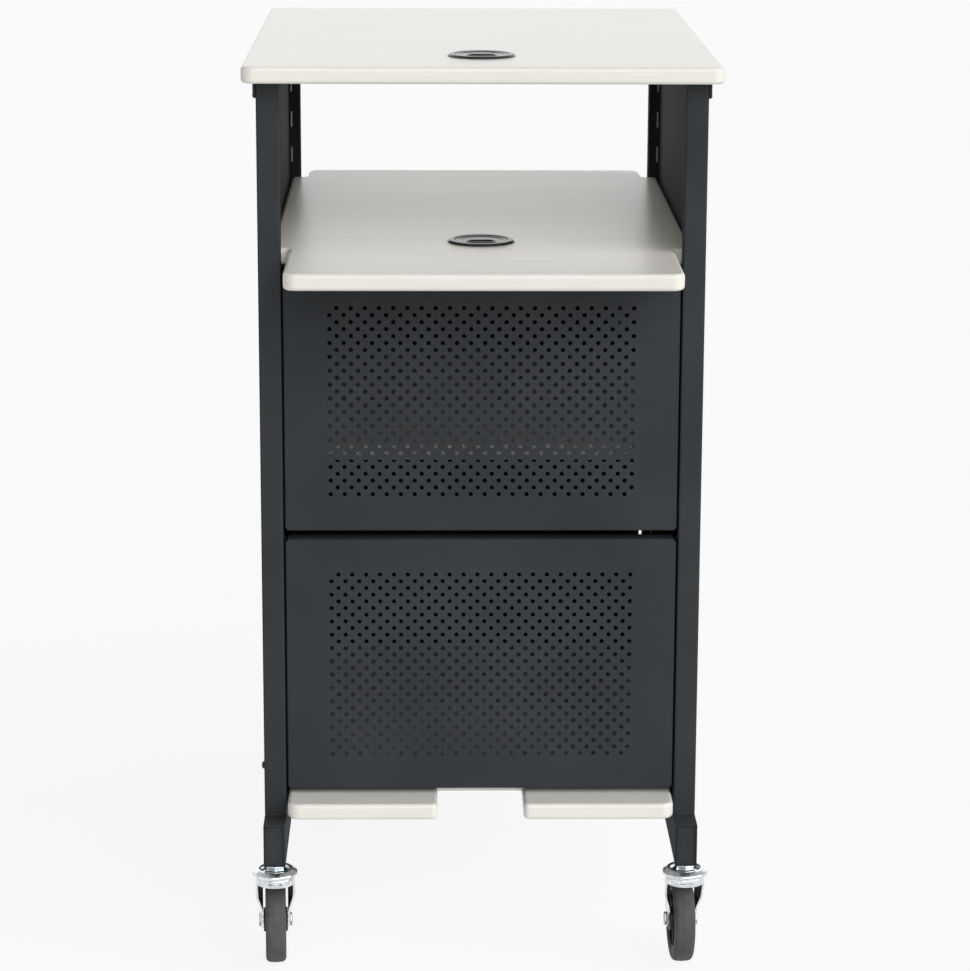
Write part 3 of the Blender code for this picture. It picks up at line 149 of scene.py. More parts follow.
# %% [markdown]
# In edit mode the mouse would pick an edge or a face. Here a small test does it: it looks at
# where an element lies or which way it faces, and the operators that follow act on those.

# %% Picking
FLAT = 0.9
NEAR = 0.1 * MM
MERGE = 0.01 * MM


def pick(piece, kind, test=lambda item: True):
    """Opens a piece in edit mode with the elements that pass a test selected."""
    only(piece)
    bpy.ops.object.mode_set(mode="EDIT")
    bpy.ops.mesh.select_mode(type=kind)
    bpy.ops.mesh.select_all(action="DESELECT")
    shape = bmesh.from_edit_mesh(piece.data)
    for item in {"VERT": shape.verts, "EDGE": shape.edges, "FACE": shape.faces}[kind]:
        if test(item):
            item.select = True
    shape.select_flush_mode()
    bmesh.update_edit_mesh(piece.data)


def pick_all(piece):
    """Opens a piece in edit mode with everything selected."""
    only(piece)
    bpy.ops.object.mode_set(mode="EDIT")
    bpy.ops.mesh.select_mode(type="VERT")
    bpy.ops.mesh.select_all(action="SELECT")


def pick_ends(piece, axis):
    """Picks the faces that look along an axis, either way."""
    pick(piece, "FACE", lambda face: abs(face.normal[axis]) > FLAT)


def pick_edges_along(piece, axis):
    """Picks the edges that run along an axis."""
    pick(piece, "EDGE", lambda edge: abs(
        (edge.verts[0].co - edge.verts[1].co).normalized()[axis]) > FLAT)


# %% [markdown]
# What is picked is then extruded or rounded, and cuts, joins and thicknesses come from
# modifiers that are applied at once, so each piece ends as a plain mesh.

# %% Shaping, modifiers and cuts
def extrude(step):
    """Extrudes what is selected in edit mode."""
    bpy.ops.mesh.extrude_region_move(TRANSFORM_OT_translate={"value": tuple(step)})


def round_edges(radius, segments):
    """Rounds the edges that are selected in edit mode."""
    bpy.ops.mesh.bevel(offset=radius, segments=segments, profile=0.5, affect="EDGES")


def apply(piece, kind, **settings):
    """Adds a modifier and applies it."""
    only(piece)
    modifier = piece.modifiers.new(kind.lower(), kind)
    for name, value in settings.items():
        setattr(modifier, name, value)
    bpy.ops.object.modifier_apply(modifier=modifier.name)
    return piece


def repeat(piece, count, step):
    """Repeats a mesh along a line."""
    return apply(piece, "ARRAY", count=count, use_relative_offset=False,
                 use_constant_offset=True, constant_offset_displace=step)


def cut(piece, cutter, operation="DIFFERENCE"):
    """Takes a cutter out of a piece."""
    apply(piece, "BOOLEAN", object=cutter, operation=operation, solver="EXACT")
    bpy.data.objects.remove(cutter)
    return piece


def weld(piece, *others):
    """Unites solids into one closed shell."""
    for other in others:
        cut(piece, other, "UNION")
    return piece


def join(piece, *others):
    """Makes several meshes one object."""
    only(piece)
    for other in others:
        other.select_set(True)
    bpy.ops.object.join()
    return piece


def tidy_normals(piece):
    """Merges doubles and turns every face outwards."""
    pick_all(piece)
    bpy.ops.mesh.remove_doubles(threshold=MERGE)
    bpy.ops.mesh.normals_make_consistent(inside=False)
    return only(piece)


def ease_edges(piece, radius, segments=2):
    """Rounds every edge of a piece a little."""
    pick_all(piece)
    bpy.ops.mesh.select_mode(type="EDGE")
    round_edges(radius, segments)
    return only(piece)


# %% [markdown]
# Sheet metal, moulded plastic and laminate all have small radii that catch the light, and
# flat faces between them that must shade flat. Smooth shading up to an angle and then a
# Weighted Normal modifier give both. Last, a piece gets its finish, rides on the body of the
# CAD node that it stands for, and hides that node.

# %% Shading and installing a piece
FINISHES = {}
made = []


def shade(piece, angle_deg=35.0):
    """Smooth radii, flat faces."""
    only(piece)
    bpy.ops.object.shade_smooth_by_angle(angle=math.radians(angle_deg))
    return apply(piece, "WEIGHTED_NORMAL", keep_sharp=True, weight=80)


def install(piece, finish, *nodes, body=None):
    """Gives a piece its finish and its body, and hides the nodes it stands for."""
    only(None)
    piece.data.materials.clear()
    piece.data.materials.append(FINISHES[finish])
    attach(piece, body or BODY_OF[nodes[0]])
    if nodes:
        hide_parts(*nodes)
    made.append(piece)
    print(f"{piece.name}: {len(piece.data.polygons)} faces, {finish}")


# %% [markdown]
# ## The finishes
#
# A material is a small program. To keep it readable, one class wraps a socket so that sums
# can be written as sums, and another adds any other node in one line: its type, its settings
# and what goes into its sockets.

# %% A socket that can be added and multiplied
class Value:
    """An output socket, or what came of a sum of them."""

    def __init__(self, tree, socket):
        self.tree, self.socket = tree, socket

    def math(self, operation, first, second):
        return self.tree.add("ShaderNodeMath", {"operation": operation}, {0: first, 1: second})

    def __add__(self, other):
        return self.math("ADD", self, other)

    def __mul__(self, other):
        return self.math("MULTIPLY", self, other)

    def __sub__(self, other):
        return self.math("SUBTRACT", self, other)

    def __rsub__(self, other):
        return self.math("SUBTRACT", other, self)

    __radd__ = __add__
    __rmul__ = __mul__


class Tree:
    """A node tree that grows by one line a node."""

    def __init__(self, owner):
        owner.use_nodes = True
        self.nodes, self.links = owner.node_tree.nodes, owner.node_tree.links

    def add(self, kind, settings, inputs, output=0):
        """Adds a node: its settings first, then its inputs."""
        node = self.nodes.new(kind)
        for name, value in settings.items():
            setattr(node, name, value)
        for name, value in inputs.items():
            self.feed(node.inputs[name], value)
        return Value(self, node.outputs[output])

    def feed(self, socket, value):
        """Links a value to a socket, or writes a number or colour on it."""
        if isinstance(value, Value):
            self.links.new(value.socket, socket)
        else:
            socket.default_value = value

    def blend(self, amount, first, second):
        """A colour between two colours."""
        return self.add("ShaderNodeMix", {"data_type": "RGBA"}, {0: amount, 6: first, 7: second}, 2)


# %% [markdown]
# A finish is such a tree round one Principled shader. Its patterns read the point on the
# object, so they stay on the piece when it moves. A number that is the same all over goes
# straight onto the shader.

# %% A finish and its patterns
EVEN = (1.0, 1.0, 1.0)


class Finish(Tree):
    """One material and its Principled shader."""

    def __init__(self, name, **constants):
        FINISHES[name] = bpy.data.materials.new(name)
        super().__init__(FINISHES[name])
        self.shader = self.nodes["Principled BSDF"]
        for socket, value in constants.items():
            self.set(socket.replace("_", " "), value)

    def set(self, socket, value):
        self.feed(self.shader.inputs[socket], value)

    def noise(self, scale, detail=2.0, stretch=EVEN, rough=0.5):
        """Soft noise from 0 to 1; the scale is in blobs per metre."""
        point = self.add("ShaderNodeTexCoord", {}, {}, "Object")
        place = self.add("ShaderNodeMapping", {}, {"Vector": point, "Scale": stretch})
        sockets = {"Vector": place, "Scale": scale, "Detail": detail, "Roughness": rough}
        return self.add("ShaderNodeTexNoise", {}, sockets, "Fac")

    def ramp(self, value, low, high):
        """0 below low, 1 above high, straight between."""
        return self.add("ShaderNodeMapRange", {"clamp": True}, {0: value, 1: low, 2: high})

    def colours(self, amount, first, second):
        """The base colour, between two colours given by their screen values."""
        self.set("Base Color", self.blend(amount, colour(*first), colour(*second)))

    def bump(self, height, distance, strength=1.0):
        """Tilts the shading normal by a height in metres times a distance."""
        sockets = {"Height": height, "Distance": distance, "Strength": strength}
        self.set("Normal", self.add("ShaderNodeBump", {}, sockets))


def colour(*screen):
    """A colour from its screen values out of 255, made linear."""
    linear = [(v / 255 / 12.92) if v <= 10 else ((v / 255 + 0.055) / 1.055) ** 2.4
              for v in screen]
    return (*linear, 1.0)


# %% [markdown]
# ### Charcoal powder coat
#
# The steel is powder coated: a cool dark grey with a low sheen. The powder melts into a skin
# with a faint orange peel, about a millimetre from crest to crest, so a flat panel shows a
# broken, soft highlight. The colour drifts very little, and the drift is slow.

# %% Charcoal coat
coat = Finish("charcoal_coat", IOR=1.5, Specular_IOR_Level=0.08)
coat.colours(coat.ramp(coat.noise(9.0), 0.3, 0.7), (53, 56, 59), (59, 62, 65))
peel = coat.noise(700.0)
coat.set("Roughness", 0.66 + 0.12 * peel)
coat.bump(0.7 * peel + 0.3 * coat.noise(2600.0, 1.0), 0.12 * MM)
print("charcoal_coat:", len(coat.nodes), "nodes")

# %% [markdown]
# ### Pale laminate
#
# The boards wear a bleached wood print under a satin, slightly rough film. The grain is long
# and very faint: bands a few millimetres wide drift along the board, with fine pores between
# them. Noise squeezed along one axis gives both. The pores also dent the film a little.

# %% Pale laminate
ALONG_GRAIN = (0.055, 1.0, 1.0)
ALONG_PORES = (0.03, 1.0, 1.0)
PORE_COLOUR = colour(212, 206, 195)

board = Finish("pale_laminate", IOR=1.45)
warp = board.noise(5.0, 2.0, ALONG_GRAIN)
bands = board.noise(95.0, 4.0, ALONG_GRAIN, 0.6)
pores = board.noise(900.0, 3.0, ALONG_PORES, 0.6)
figure = 0.55 * board.ramp(bands, 0.35, 0.68) + 0.30 * warp + 0.15 * pores
pale = board.blend(figure, colour(240, 237, 230), colour(232, 228, 219))
board.set("Base Color", board.blend(0.25 * board.ramp(pores, 0.60, 0.78), pale, PORE_COLOUR))
board.set("Roughness", 0.27 + 0.10 * pores)
board.bump(pores, 0.10 * MM, 0.5)
print("pale_laminate:", len(board.nodes), "nodes")

# %% [markdown]
# ### Zinc plate
#
# Caster steel is bright zinc with a cold blue passivation. Plating shows the rolled sheet
# under it, so the shine is broken by cloudy patches and fine rub marks.

# %% Zinc plate
ALONG_RUB = (1.0, 1.0, 0.15)

zinc = Finish("zinc_plate", Metallic=1.0)
cloud = zinc.noise(140.0, 3.0)
rub = zinc.noise(900.0, 2.0, ALONG_RUB)
zinc.colours(zinc.ramp(cloud, 0.35, 0.65), (236, 240, 242), (203, 210, 215))
zinc.set("Roughness", 0.11 + 0.12 * zinc.ramp(cloud, 0.35, 0.75) + 0.05 * rub)
zinc.bump(rub, 0.03 * MM, 0.3)
print("zinc_plate:", len(zinc.nodes), "nodes")

# %% [markdown]
# ### Grey rubber
#
# The tyres are grey-brown rubber, matt and dusty, with slow patches of dust.

# %% Grey rubber
rubber = Finish("grey_rubber", IOR=1.5, Specular_IOR_Level=0.35)
dust = rubber.noise(60.0, 4.0)
fine = rubber.noise(1200.0)
rubber.colours(rubber.ramp(dust, 0.3, 0.7), (68, 68, 67), (88, 87, 84))
rubber.set("Roughness", 0.55 + 0.25 * fine)
rubber.bump(fine + 0.5 * dust, 0.15 * MM, 0.7)
print("grey_rubber:", len(rubber.nodes), "nodes")

# %% [markdown]
# ### Plastic, pin and screw
#
# The grommets are moulded, black with a satin face and a spark-eroded texture. The hubs are
# a duller moulded plastic. The pins are turned steel, so their grain is drawn out along the
# lathe, and the screws are blackened steel with a faint oil sheen. In each of them one fine
# noise runs through colour and roughness alike, except that the grommets' colour drifts in
# larger patches.

# %% Plastic, pin and screw finishes
ALONG_LATHE = (0.2, 1.0, 1.0)


plastic = Finish("black_plastic", IOR=1.46)
spark = plastic.noise(1500.0)
plastic.colours(plastic.noise(30.0), (26, 26, 28), (36, 36, 38))
plastic.set("Roughness", 0.20 + 0.12 * spark)
plastic.bump(spark, 0.08 * MM, 0.6)

hub_plastic = Finish("dark_hub", IOR=1.46)
speckle = hub_plastic.noise(1100.0)
hub_plastic.colours(speckle, (30, 30, 32), (44, 44, 46))
hub_plastic.set("Roughness", 0.42 + 0.15 * speckle)
hub_plastic.bump(speckle, 0.08 * MM, 0.5)

steel = Finish("steel_pin", Metallic=1.0)
lathe = steel.noise(1800.0, 2.0, ALONG_LATHE)
steel.colours(lathe, (148, 150, 152), (180, 182, 184))
steel.set("Roughness", 0.22 + 0.18 * lathe)

screw_steel = Finish("black_screw", Metallic=0.6)
oil = screw_steel.noise(800.0)
screw_steel.colours(oil, (38, 38, 40), (52, 52, 54))
screw_steel.set("Roughness", 0.35 + 0.2 * oil)
print("finishes:", ", ".join(FINISHES))

# %% [markdown]
# Nodes whose CAD shape is already right keep it and only get their finish: each one takes
# the material that its record slot names. Those that get a finer piece further down are
# hidden then.

# %% Finish the CAD nodes that stay
for part in frame["record"]["subparts"]:
    materials = frame["nodes"][part["node"]].data.materials
    materials.clear()
    materials.append(FINISHES[part["material_slot"]])
print("finished:", len(frame["nodes"]), "nodes")

# %% [markdown]
# ## The boards
#
# Each board is 19 mm thick with rounded corners and a rolled edge. It could be a cube with
# bevels, but two of them have steps or a notch in their outline. So every board starts as a
# flat plane: straight cuts take out the notches, the corner points are rounded while it is
# still flat, and only then is it extruded to its thickness and its rim rolled.

# %% One board
EDGE_ROUND = 4.5 * MM
EDGE_STEPS = 5
CORNER_ROUND = 14 * MM
NOTCH_ROUND = 7 * MM
CORNER_STEPS = 8


def merge_flat(piece):
    """Merges neighbouring faces that lie in one plane."""
    pick_all(piece)
    bpy.ops.mesh.dissolve_limited(angle_limit=math.radians(1.0))
    return only(piece)


def take_out(sheet, near, far):
    """Cuts a rectangle out of a flat sheet."""
    for corner in (near, far):
        for axis in (0, 1):
            place, normal = Vector(), Vector()
            place[axis], normal[axis] = corner[axis], 1.0
            pick_all(sheet)
            bpy.ops.mesh.bisect(plane_co=place, plane_no=normal)
    pick(sheet, "FACE", lambda face: all(
        near[axis] < face.calc_center_median()[axis] < far[axis] for axis in (0, 1)))
    bpy.ops.mesh.delete(type="FACE")


def make_board(node, notches=(), tight=()):
    """A board with rectangular notches; corners listed in tight get the small radius."""
    low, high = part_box(node)
    middle = box_middle(node)
    piece = start("plane", f"{node}_laminate", size=1.0, location=(middle.x, middle.y, high.z),
                  stretch=(high.x - low.x, high.y - low.y, 1.0))
    for near, far in notches:
        take_out(piece, near, far)
    corners = {NOTCH_ROUND: [], CORNER_ROUND: []}
    for vert in merge_flat(piece).data.vertices:
        small = any((vert.co.xy - Vector(point)).length < MM for point in tight)
        corners[NOTCH_ROUND if small else CORNER_ROUND].append(vert.co.copy())
    for radius, group in corners.items():
        pick(piece, "VERT", lambda vert: any((vert.co - c).length < NEAR for c in group))
        bpy.ops.mesh.bevel(offset=radius, segments=CORNER_STEPS, affect="VERTICES")
    pick_all(piece)
    extrude((0.0, 0.0, low.z - high.z))
    tidy_normals(piece)
    pick(piece, "EDGE", lambda edge: {
        abs(face.normal.z) > FLAT for face in edge.link_faces} == {True, False})
    round_edges(EDGE_ROUND, EDGE_STEPS)
    return only(piece)


# %% [markdown]
# The top board is a plain rounded rectangle with one hole for its grommet. The middle shelf
# is wider between the columns than at its two ends, where it passes between them. The lower
# shelf has a deep notch at the cable side, and the inner one is a plain board.

# %% The four boards
NOSE_CLEARANCE = 8.6 * MM
COLUMN_CLEARANCE = 1.6 * MM
CABLE_NOTCH_HALF = 50 * MM
CABLE_NOTCH_DEPTH = 101 * MM
GROMMET_BORE = 32 * MM
OVERRUN = 5 * MM

front_column_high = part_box("front_left_column")[1]
rear_column_low, rear_column_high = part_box("rear_left_column")


def bored(piece, node, ring):
    """Drills the hole that a grommet ring sits in."""
    low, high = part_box(node)
    place = box_middle(ring)
    place.z = (low.z + high.z) / 2
    drill = start("cylinder", "drill", vertices=64, radius=GROMMET_BORE, location=place,
                  depth=high.z - low.z + 2 * OVERRUN)
    return cut(piece, drill)


def install_board(board, node):
    install(shade(board), "pale_laminate", node)


install_board(bored(make_board("top_board"), "top_board", "top_grommet_ring"), "top_board")

low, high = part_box("middle_shelf")
nose = -front_column_high.x - NOSE_CLEARANCE
front_step = front_column_high.y + COLUMN_CLEARANCE
rear_step = rear_column_low.y - COLUMN_CLEARANCE
steps = [((x[0], y[0]), (x[1], y[1]))
         for y in ((low.y - OVERRUN, front_step), (rear_step, high.y + OVERRUN))
         for x in ((low.x - OVERRUN, -nose), (nose, high.x + OVERRUN))]
tight = [(side * x, y) for side in (-1, 1) for y in (front_step, rear_step)
         for x in (nose, high.x)]
shelf = make_board("middle_shelf", steps, tight)
install_board(bored(shelf, "middle_shelf", "shelf_grommet_ring"), "middle_shelf")

low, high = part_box("lower_shelf")
notch_back = low.y + CABLE_NOTCH_DEPTH
notch = [((-CABLE_NOTCH_HALF, low.y - OVERRUN), (CABLE_NOTCH_HALF, notch_back))]
tight = [(side * CABLE_NOTCH_HALF, y) for side in (-1, 1) for y in (low.y, notch_back)]
install_board(make_board("lower_shelf", notch, tight), "lower_shelf")
install_board(make_board("inner_shelf"), "inner_shelf")

# %% [markdown]
# ## The columns
#
# Four square tubes carry everything. Each has a row of slots in the face that looks at the
# other column of its side frame, for the shelf brackets to hook into; they lie a little
# nearer the middle of the cart than the middle of the tube. A solid bar with dark dashes
# painted on would fail from the side, so this is a real tube: a cube without its two ends,
# bevelled along its length, given a wall, and cut by one row of slot cutters. A bare steel
# strip inside the tube shows as a light line in each slot.

# %% One column
TUBE_WALL = 1.5 * MM
TUBE_CORNER = 2.4 * MM
SLOT_SIZE = Vector((1.8, 10.0, 20.4)) * MM
SLOT_END = 0.85 * MM
SLOT_INWARD = 1.5 * MM
SLOT_PITCH = 45.7 * MM
FIRST_SLOT = 54.3 * MM
STRIP_WIDTH = 6 * MM
STRIP_SHEET = 0.6 * MM
STRIP_EASE = 0.15 * MM


def make_tube(name, low, high):
    """A square tube standing up, open at both ends."""
    piece = start_box(name, low, high)
    pick_ends(piece, 2)
    bpy.ops.mesh.delete(type="FACE")
    pick_edges_along(piece, 2)
    round_edges(TUBE_CORNER, 4)
    return apply(piece, "SOLIDIFY", thickness=TUBE_WALL, offset=-1.0)


def make_column(node, inward):
    """A slotted column; inward is the way its slotted face looks along Y."""
    low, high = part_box(node)
    x = box_middle(node).x
    face_y = high.y if inward > 0 else low.y
    first = low.z + FIRST_SLOT
    count = 1 + int((high.z - SLOT_SIZE.z / 2 - first) / SLOT_PITCH)
    place = Vector((x - math.copysign(SLOT_INWARD, x), face_y, first))
    slots = start_box("slots", place - SLOT_SIZE / 2, place + SLOT_SIZE / 2)
    pick_edges_along(slots, 1)
    round_edges(SLOT_END, 3)
    repeat(slots, count, (0.0, 0.0, SLOT_PITCH))
    install(shade(cut(make_tube(f"{node}_tube", low, high), slots)), "charcoal_coat", node)
    strip_y = face_y - inward * (TUBE_WALL + STRIP_SHEET)
    strip = start_box(
        f"{node}_strip", (x - STRIP_WIDTH / 2, strip_y, first - SLOT_SIZE.z),
        (x + STRIP_WIDTH / 2, strip_y + inward * STRIP_SHEET, first + (count - 0.5) * SLOT_PITCH))
    install(tidy_normals(ease_edges(strip, STRIP_EASE, 1)), "steel_pin", body=BODY_OF[node])


for end, inward in (("front", 1), ("rear", -1)):
    for hand in HANDS:
        make_column(f"{end}_{hand}_column", inward)

# %% [markdown]
# ## Base runners and top rails
#
# A base runner is a taller tube, so it is a cube with all its edges eased. A plug closes each
# end of the tube: the end face is inset by the wall, sunk, inset again by the gap and brought
# back, which leaves a narrow groove round the plug. A top rail is an angle: the flat leg lies
# on the column tops, under the board, and the other leg hangs down outside them.

# %% Runners and rails
RUNNER_EDGE = 1.4 * MM
PLUG_WALL = 0.5 * MM
PLUG_SUNK = 2.0 * MM
PLUG_GAP = 1.0 * MM
PLUG_RETURN = 1.2 * MM
PLUG_EDGE = 0.5 * MM
RAIL_SHEET = 3.0 * MM
RAIL_EASE = 0.6 * MM


def plug_end(runner, end):
    """Closes one end of a runner with a plug."""
    pick(runner, "FACE", lambda face: face.normal.y * end > FLAT)
    bpy.ops.mesh.inset(thickness=PLUG_WALL)
    extrude((0.0, -end * PLUG_SUNK, 0.0))
    bpy.ops.mesh.inset(thickness=PLUG_GAP)
    extrude((0.0, end * PLUG_RETURN, 0.0))
    bpy.ops.mesh.inset(thickness=PLUG_EDGE)
    bpy.ops.transform.translate(value=(0.0, end * PLUG_EDGE, 0.0))
    only(runner)


def make_rail(hand, side):
    """An angle: the flat leg on top, the other hanging at the outside."""
    low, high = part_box(f"{hand}_top_rail")
    outer = low.x if side < 0 else high.x
    rail = start_box(f"{hand}_rail_angle", (low.x, low.y, high.z - RAIL_SHEET), high)
    pick_all(rail)
    bpy.ops.mesh.bisect(plane_co=(outer - side * RAIL_SHEET, 0.0, 0.0), plane_no=(1.0, 0.0, 0.0))
    pick(rail, "FACE", lambda face: face.normal.z < -FLAT
         and abs(face.calc_center_median().x - outer) < RAIL_SHEET)
    extrude((0.0, 0.0, low.z - high.z + RAIL_SHEET))
    return ease_edges(tidy_normals(rail), RAIL_EASE)


for hand, side in HANDS.items():
    runner = start_box(f"{hand}_runner_tube", *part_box(f"{hand}_base_runner"))
    ease_edges(runner, RUNNER_EDGE, 3)
    for end in (-1, 1):
        plug_end(runner, end)
    install(shade(runner), "charcoal_coat", f"{hand}_base_runner")
    install(shade(make_rail(hand, side)), "charcoal_coat", f"{hand}_top_rail")

# %% [markdown]
# ## Perforated panels
#
# Both panels at the cable side are folded from 1.2 mm sheet. The field has 28 rows of 22
# holes, each row half a pitch off the next. A Boolean with 616 cutters is slow and leaves a
# poor mesh, so the field is woven from one cell instead: a rectangle of twelve points
# bridged to a hole of twelve points. Copies of the cell share their edge points with the
# cells above and below although every second row is shifted.

# %% The field of holes
HOLE_RADIUS = 2.6 * MM
HOLE_PITCH = 16 * MM
ROW_PITCH = 8 * MM
HOLES_IN_ROW = 22
HOLE_ROWS = 28
FIELD_HALF = Vector(((HOLES_IN_ROW + 0.5) * HOLE_PITCH, HOLE_ROWS * ROW_PITCH)) / 2


def hole_cell():
    """One cell of the field, with its hole at the origin."""
    cell = start("grid", "cell", x_subdivisions=4, y_subdivisions=2, size=1.0,
                 stretch=(HOLE_PITCH, ROW_PITCH, 1.0))
    pick(cell, "VERT", lambda vert: abs(vert.co.y) < ROW_PITCH / 4
         and abs(vert.co.x) < 0.4 * HOLE_PITCH)
    bpy.ops.mesh.dissolve_verts()
    join(only(cell), start("circle", "hole", vertices=12, radius=HOLE_RADIUS))
    pick(cell, "FACE")
    bpy.ops.mesh.delete(type="ONLY_FACE")
    pick(cell, "EDGE")
    bpy.ops.mesh.bridge_edge_loops()
    return tidy_normals(cell)


def hole_row(shift):
    """One row of cells, squared off by a plain half cell at one end if it is shifted."""
    row = repeat(hole_cell(), HOLES_IN_ROW, (HOLE_PITCH, 0.0, 0.0))
    filler = start("grid", "filler", x_subdivisions=2, y_subdivisions=2, size=1.0,
                   stretch=(HOLE_PITCH / 2, ROW_PITCH, 1.0))
    laid(filler, ((-0.25 if shift else HOLES_IN_ROW - 0.25) * HOLE_PITCH, 0.0, 0.0))
    laid(row, (shift * HOLE_PITCH / 2, 0.0, 0.0))
    return laid(join(row, filler), (0.0, shift * ROW_PITCH, 0.0))


def hole_field():
    """All the holes of one panel, flat on the bench and centred on the origin."""
    field = repeat(join(hole_row(0), hole_row(1)), HOLE_ROWS // 2, (0.0, 2 * ROW_PITCH, 0.0))
    return laid(tidy_normals(field),
                (HOLE_PITCH / 2 - FIELD_HALF.x, ROW_PITCH / 2 - FIELD_HALF.y, 0.0))


field = hole_field()
print("hole field:", [round(2 * half / MM, 1) for half in field.bound_box[6][:2]], "mm,",
      len(field.data.polygons), "faces")

# %% [markdown]
# The rest of the panel grows out of the field, still flat on the bench: the rim of the field
# is extruded to the fold lines, each of its four sides is rolled round the bend and drawn
# back as a flange, and the two upright flanges get an ear that lies behind the columns. The
# flanges stop short of each other, which leaves the small relief notch at each corner. Last
# the sheet gets its thickness and the panel is stood up in its place.

# %% Folding a tray
SHEET = 1.2 * MM
BEND_RADIUS = 2.0 * MM
BEND_STEPS = 4
RELIEF = 0.8 * MM
SIDES = [Vector(way) for way in ((1, 0), (-1, 0), (0, 1), (0, -1))]


def fold_side(tray, half, way, depth):
    """Rolls one side of a flat tray round its bend and draws it back to a depth."""
    reach = abs(way.x) * half.x + abs(way.y) * half.y
    along = Vector((abs(way.y), abs(way.x)))
    pick(tray, "EDGE", lambda edge: edge.is_boundary and all(
        abs(vert.co.xy.dot(way) - reach) < NEAR and vert.co.z > -NEAR for vert in edge.verts))
    turn = math.radians(90.0) / BEND_STEPS
    for step in range(BEND_STEPS):
        out = BEND_RADIUS * (math.sin((step + 1) * turn) - math.sin(step * turn))
        down = BEND_RADIUS * (math.cos((step + 1) * turn) - math.cos(step * turn))
        extrude((way.x * out, way.y * out, down))
        if step == 0:
            less = RELIEF / along.dot(half)
            bpy.ops.transform.resize(value=(1.0 - along.x * less, 1.0 - along.y * less, 1.0),
                                     center_override=(0.0, 0.0, 0.0))
    extrude((0.0, 0.0, BEND_RADIUS - depth))


def fold_tray(tray, half, depth, ear=0.0):
    """Folds all four sides; half is the flat part's half size about the origin."""
    for way in SIDES:
        fold_side(tray, half, way, depth)
        if ear and way.x:
            extrude((way.x * ear, 0.0, 0.0))
    return only(tray)


def stand_up(tray, place, turn_deg):
    """Thickens a flat tray and stands it up in its place, turned about the upright."""
    apply(tray, "SOLIDIFY", thickness=SHEET, offset=-1.0)
    return laid(tray, place, (90.0, 0.0, turn_deg))


# %% [markdown]
# The field sits a little above the middle of each panel, so its rim is picked, extruded
# without moving and stretched about the field's own middle, and then slid down.

# %% The two panels
VENT_CLEARANCE = 2.1 * MM
VENT_EAR = 9.0 * MM
FIELD_LIFT = 0.8 * MM


def make_vent(node):
    """A perforated panel, grown from a copy of the field."""
    low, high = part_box(node)
    middle = box_middle(node)
    half = Vector((-front_column_high.x - VENT_CLEARANCE - BEND_RADIUS,
                   (high.z - low.z) / 2 - BEND_RADIUS))
    panel = copied(field, f"{node}_sheet", Matrix.Translation((0.0, FIELD_LIFT, 0.0)))
    pick(panel, "EDGE", lambda edge: edge.is_boundary and all(
        max(abs(vert.co.x) - FIELD_HALF.x, abs(vert.co.y - FIELD_LIFT) - FIELD_HALF.y) > -NEAR
        for vert in edge.verts))
    extrude((0.0, 0.0, 0.0))
    bpy.ops.transform.resize(value=(half.x / FIELD_HALF.x, half.y / FIELD_HALF.y, 1.0),
                             center_override=(0.0, FIELD_LIFT, 0.0))
    bpy.ops.transform.translate(value=(0.0, -FIELD_LIFT, 0.0))
    fold_tray(panel, half, high.y - low.y, VENT_EAR + VENT_CLEARANCE)
    install(shade(stand_up(panel, (middle.x, low.y, middle.z), 0.0)), "charcoal_coat", node)


make_vent("upper_vent_panel")
make_vent("lower_vent_panel")
bpy.data.objects.remove(field)

# %% [markdown]
# ## Turned parts
#
# Grommets, wheels, pins, caps and the lock are all round. By hand, one draws half of the
# section with a single point that is extruded from corner to corner, and spins that line
# about the axis. The sections below are lists of (radius, height, ease) in millimetres, and
# a helper rounds each corner by its ease first, because a turned edge is never sharp.

# %% Drawing a line and turning it
ARC_STEPS = 4
ALONG_X = (0.0, 90.0, 0.0)
ALONG_Y = (-90.0, 0.0, 0.0)


def eased(corners):
    """Points in metres from (x, y, radius) corners in millimetres, each radius an arc."""
    points = []
    for index, (x, y, radius) in enumerate(corners):
        here = Vector((x, y))
        if not radius:
            points.append(here * MM)
            continue
        before = (Vector(corners[index - 1][:2]) - here).normalized()
        after = (Vector(corners[(index + 1) % len(corners)][:2]) - here).normalized()
        half = before.angle(after) / 2
        centre = here + (before + after).normalized() * radius / math.sin(half)
        arms = [here + way * radius / math.tan(half) - centre for way in (before, after)]
        for step in range(ARC_STEPS + 1):
            arm = arms[0].slerp(arms[1], step / ARC_STEPS).normalized() * radius
            points.append((centre + arm) * MM)
    return points


def trace(name, path, closed):
    """Draws a line through points by extruding a single vertex."""
    path = [Vector(point) for point in path]
    piece = start("plane", name, size=MM, location=path[0])
    pick_all(piece)
    bpy.ops.mesh.merge(type="CENTER")
    for last, point in zip(path, path[1:] + path[:closed]):
        bpy.ops.mesh.extrude_vertices_move(TRANSFORM_OT_translate={"value": tuple(point - last)})
    bpy.ops.mesh.select_all(action="SELECT")
    bpy.ops.mesh.remove_doubles(threshold=MERGE)
    return only(piece)


def turned(name, section, steps=48, closed=True):
    """Spins a section about the Z axis."""
    piece = trace(name, [(x, 0.0, z) for x, z in eased(section)], closed)
    pick_all(piece)
    bpy.ops.mesh.spin(steps=steps, angle=math.tau, center=(0.0, 0.0, 0.0), axis=(0.0, 0.0, 1.0))
    return tidy_normals(piece)


def plate(name, outline, thickness, axis):
    """A flat plate; the outline lies across the axis, and the plate grows along it."""
    path = [list(point) for point in eased(outline)]
    for point in path:
        point.insert(axis, 0.0)
    piece = trace(name, path, True)
    pick_all(piece)
    bpy.ops.mesh.edge_face_add()
    step = [0.0, 0.0, 0.0]
    step[axis] = thickness
    extrude(step)
    return tidy_normals(piece)


